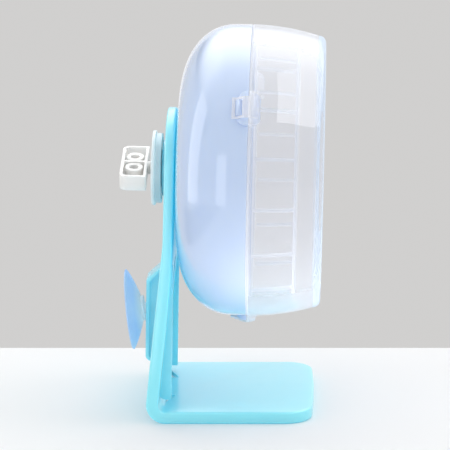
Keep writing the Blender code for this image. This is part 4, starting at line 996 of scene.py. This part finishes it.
cup = dict(
    steps=144, smooth=radians(40), radius=19.5, reach=8.6, collarRadius=6.2, collarLength=1.2,
    neckRadius=2.7, headRadius=4.7, headLength=2.0, headRound=1.0, depth=5.0, lip=0.5,
    tilt=radians(7.5), outerShares=((0.90, 0.80), (0.70, 0.49), (0.50, 0.22)),
    innerShares=((0.15, 0.03), (0.34, 0.15), (0.59, 0.42), (0.79, 0.70), (0.92, 0.88)))
softBlue = clearMoulding("softPvc", dict(
    colour=srgb(0.95, 0.975, 1.0), shade=srgb(0.92, 0.96, 1.0), roughness=0.10, spread=0.08, flow=34,
    fine=300, bump=0.14, ior=1.16, coatRoughness=0.10, milk=srgb(0.79, 0.875, 1.0),
    milkShade=srgb(0.87, 0.93, 1.0), coreTint=srgb(0.96, 0.975, 0.97), core=cupFrame().translation,
    coreEnd=14.5, coreFade=7.5, edgePower=3.0, edgeMilk=0.2, haze=0.74, hazeSpread=0.06,
    shadow=srgb(0.86, 0.94, 1.0), shadowShare=0.9))


def smoothLine(points, parts=6):  # a soft curve through the points of a profile
    result = []
    for k in range(len(points) - 1):
        p0, p1, p2, p3 = (Vector(points[min(max(i, 0), len(points) - 1)]) for i in (k - 1, k, k + 1, k + 2))
        for j in range(parts):
            t = j / parts
            result.append(tuple(0.5 * (2 * p1 + (p2 - p0) * t + (2 * p0 - 5 * p1 + 4 * p2 - p3) * t ** 2
                                       + (3 * p1 - p0 - 3 * p2 + p3) * t ** 3)))
    return result + [tuple(points[-1])]


def makeSuctionCup():
    c = cup
    low = c["collarRadius"] * sin(c["tilt"]) + gap
    top = low + c["collarLength"]
    headTop = -bracket["wall"] - c["headRadius"] * sin(c["tilt"]) - gap
    headLow = headTop - c["headLength"]
    flare = c["reach"] - top
    hollow = [(c["radius"] * out, c["reach"] - c["depth"] * (1 - up)) for out, up in c["innerShares"]]
    skirt = [(c["radius"] * out, top + (flare - c["lip"]) * up) for out, up in c["outerShares"]]
    inside = smoothLine([(0, c["reach"] - c["depth"])] + hollow + [(c["radius"], c["reach"])])
    outside = smoothLine([(c["radius"], c["reach"] - c["lip"])] + skirt + [(c["collarRadius"], top)])
    neck = rounded([
        (c["collarRadius"], top), (c["collarRadius"], low, plainEdge), (c["neckRadius"], low, plainEdge),
        (c["neckRadius"], headTop, plainEdge), (c["headRadius"], headTop, plainEdge),
        (c["headRadius"], headLow, c["headRound"]), (0, headLow)])[1:]
    body = lathe("softCup", inside + outside + neck, c["steps"])
    body.data.transform(cupFrame() @ Matrix.Rotation(-c["tilt"], 4, "Y"))
    setDown(body, softBlue, groundFrame, "stand", "soft_pvc", "suction_cup", smooth=c["smooth"])
    print("suction cup ready")


makeRearShell()
makeClearCover()
makeBearing()
makeSpindle()
makeHubCap()
makeClampDisc()
makeThumbScrew()
makeStand()
makeSuctionCup()


# Table, room and lamps

room = dict(
    tableBack=0.094, tableHalf=3.0, tableFront=-3.0, tableColour=srgb(0.93, 0.93, 0.93), speckle=60,
    tableRoughness=0.7, tableSpread=0.1, tableSheen=0.03, wall=(0.635, 0.62865, 0.6223, 1),
    wallThrough=0.07, ambient=0.74, sheen=0.72, sideStart=2.6, sideGain=0.5, sideLeast=0.15)
plainWhite = (1, 1, 1, 1)


def flatCard(name, corners):
    shape = bmesh.new()
    shape.faces.new([shape.verts.new(corner) for corner in corners])
    return meshObject(name, shape)


def makeTable():
    half, front, back = room["tableHalf"], room["tableFront"], room["tableBack"]
    table = flatCard("tableTop", [(-half, front, 0), (half, front, 0), (half, back, 0), (-half, back, 0)])
    graph = Graph("tableLaminate")
    speckle = graph.noise(graph.place(), room["speckle"], 4)
    table.data.materials.append(graph.close(graph.add("ShaderNodeBsdfPrincipled", None, {
        "Base Color": room["tableColour"], "Specular IOR Level": room["tableSheen"],
        "Roughness": room["tableRoughness"] + speckle * room["tableSpread"]})))


def makeRoom():
    world = bpy.data.worlds.new("room")
    bpy.context.scene.world = world
    graph = Graph(world)
    rays = graph.add("ShaderNodeLightPath").socket.node.outputs
    kinds = ("Camera", "Transmission", "Glossy")
    seen, through, glossy = [Wire(graph, rays[f"Is {kind} Ray"]) for kind in kinds]
    light = graph.add("ShaderNodeBackground", None, {"Color": plainWhite, "Strength": room["ambient"]})
    mirrored = graph.add("ShaderNodeBackground", None, {"Color": plainWhite, "Strength": room["sheen"]})
    wall = graph.add("ShaderNodeBackground", None, {
        "Color": room["wall"], "Strength": through * room["wallThrough"] + 1})
    both = graph.blend((seen + through).maths("MINIMUM", 1), graph.blend(glossy, light, mirrored), wall)
    graph.add("ShaderNodeOutputWorld", None, {"Surface": both})


def softBox(name, place, target, wide, tall, power, spread=pi):
    lamp = bpy.data.lights.new(name, "AREA")
    lamp.shape, lamp.size, lamp.size_y = "RECTANGLE", wide, tall
    lamp.energy, lamp.spread = power, spread
    obj = newObject(name, lamp)
    obj.location = place
    obj.rotation_euler = (Vector(target) - Vector(place)).to_track_quat("-Z", "Y").to_euler()
    obj.visible_camera = obj.visible_glossy = obj.visible_transmission = False  # glossy faces see reflectors


def upright(start, end, low, high):
    return [(*start, low), (*end, low), (*end, high), (*start, high)]


def reflector(name, corners, strength, fade=None):  # seen only in gloss; fades backwards and leftwards
    card = flatCard(name, corners)
    graph = Graph(name)
    tone = plainWhite
    if fade:
        front, back = corners[0][1], corners[2][1]
        side, depth, _ = graph.split(graph.place())
        stops = [(at, (tint, tint, tint, 1)) for at, tint in fade]
        tone = graph.add("ShaderNodeValToRGB", dict(stops=stops), {0: (depth - front) / (back - front)})
        dimmed = ((side + room["sideStart"]) * room["sideGain"]).within(room["sideLeast"], 1)
        strength = dimmed * strength
    finish = graph.close(graph.add("ShaderNodeEmission", None, {"Color": tone, "Strength": strength}))
    finish.cycles.emission_sampling = "NONE"
    card.data.materials.append(finish)
    card.visible_camera = card.visible_diffuse = card.visible_transmission = card.visible_shadow = False


makeTable()
makeRoom()
softBox("overhead", (0.0, 0.7, 1.45), (0, 0.1, 0.1), 2.2, 1.5, 10.5)
softBox("frontFill", (0.2, -1.4, 0.7), (0, 0, 0.1), 1.2, 0.8, 2.6)
softBox("rightPanel", (1.5, 0.1, 0.5), (0, 0, 0.06), 1.2, 0.8, 6.8)
softBox("leftPanel", (-1.7, -1.1, 0.78), (0, 0, 0.1), 1.4, 1.2, 6.8)
softBox("tableGlow", (0.05, -0.13, 0.012), (0.04, -0.03, 0.085), 0.07, 0.02, 0.013, radians(60))
reflector("leftWindow", upright((-0.45, -0.12), (-0.45, 0.12), 0.004, 0.5), 2.7)
reflector("frontWindow", upright((-0.22, -0.4), (-0.062, -0.4), 0.004, 0.28), 2.8)
reflector("rightWindow", [(0.42, -1.15, 1.45), (1.1, -1.15, 1.45), (1.1, 0.35, 1.45), (0.46, 0.35, 1.45),
                          (0.26, 0.05, 1.45)], 4.3)
reflector("tableEnd", [(-0.36, 0.19, 0.002), (-0.39, -0.28, 0.002), (-0.13, -0.39, 0.002),
                       (-0.17, 0.065, 0.002)], 0.2)
reflector("ceiling", [(-3.0, -0.9, 1.5), (2.0, -0.9, 1.5), (2.0, 6.0, 1.5), (-3.0, 6.0, 1.5)], 5.0,
          [(0.0, 0.2), (0.07, 0.3), (0.14, 0.5), (0.2, 0.9), (0.35, 0.85), (0.6, 0.35), (1.0, 0.2)])
reflector("wallGlow", upright((-0.3, 0.9), (0.45, 0.9), 0.0, 0.45), 1.0)

view = dict(
    right=0.031162, back=-1.275835, up=0.253085, down=12.387, lens=216, sensor=36, shift=-0.2, reach=20)
camera = newObject("camera", bpy.data.cameras.new("camera"))
camera.location = (view["right"] + seamX * mm, view["back"], view["up"] + axleHeight * mm)
camera.rotation_euler = (radians(90 - view["down"]), 0, 0)
camera.data.lens, camera.data.sensor_width, camera.data.shift_x = view["lens"], view["sensor"], view["shift"]
camera.data.clip_end = view["reach"]
bpy.context.scene.camera = camera
bpy.context.scene.view_settings.view_transform = "Standard"

print("scene ready")
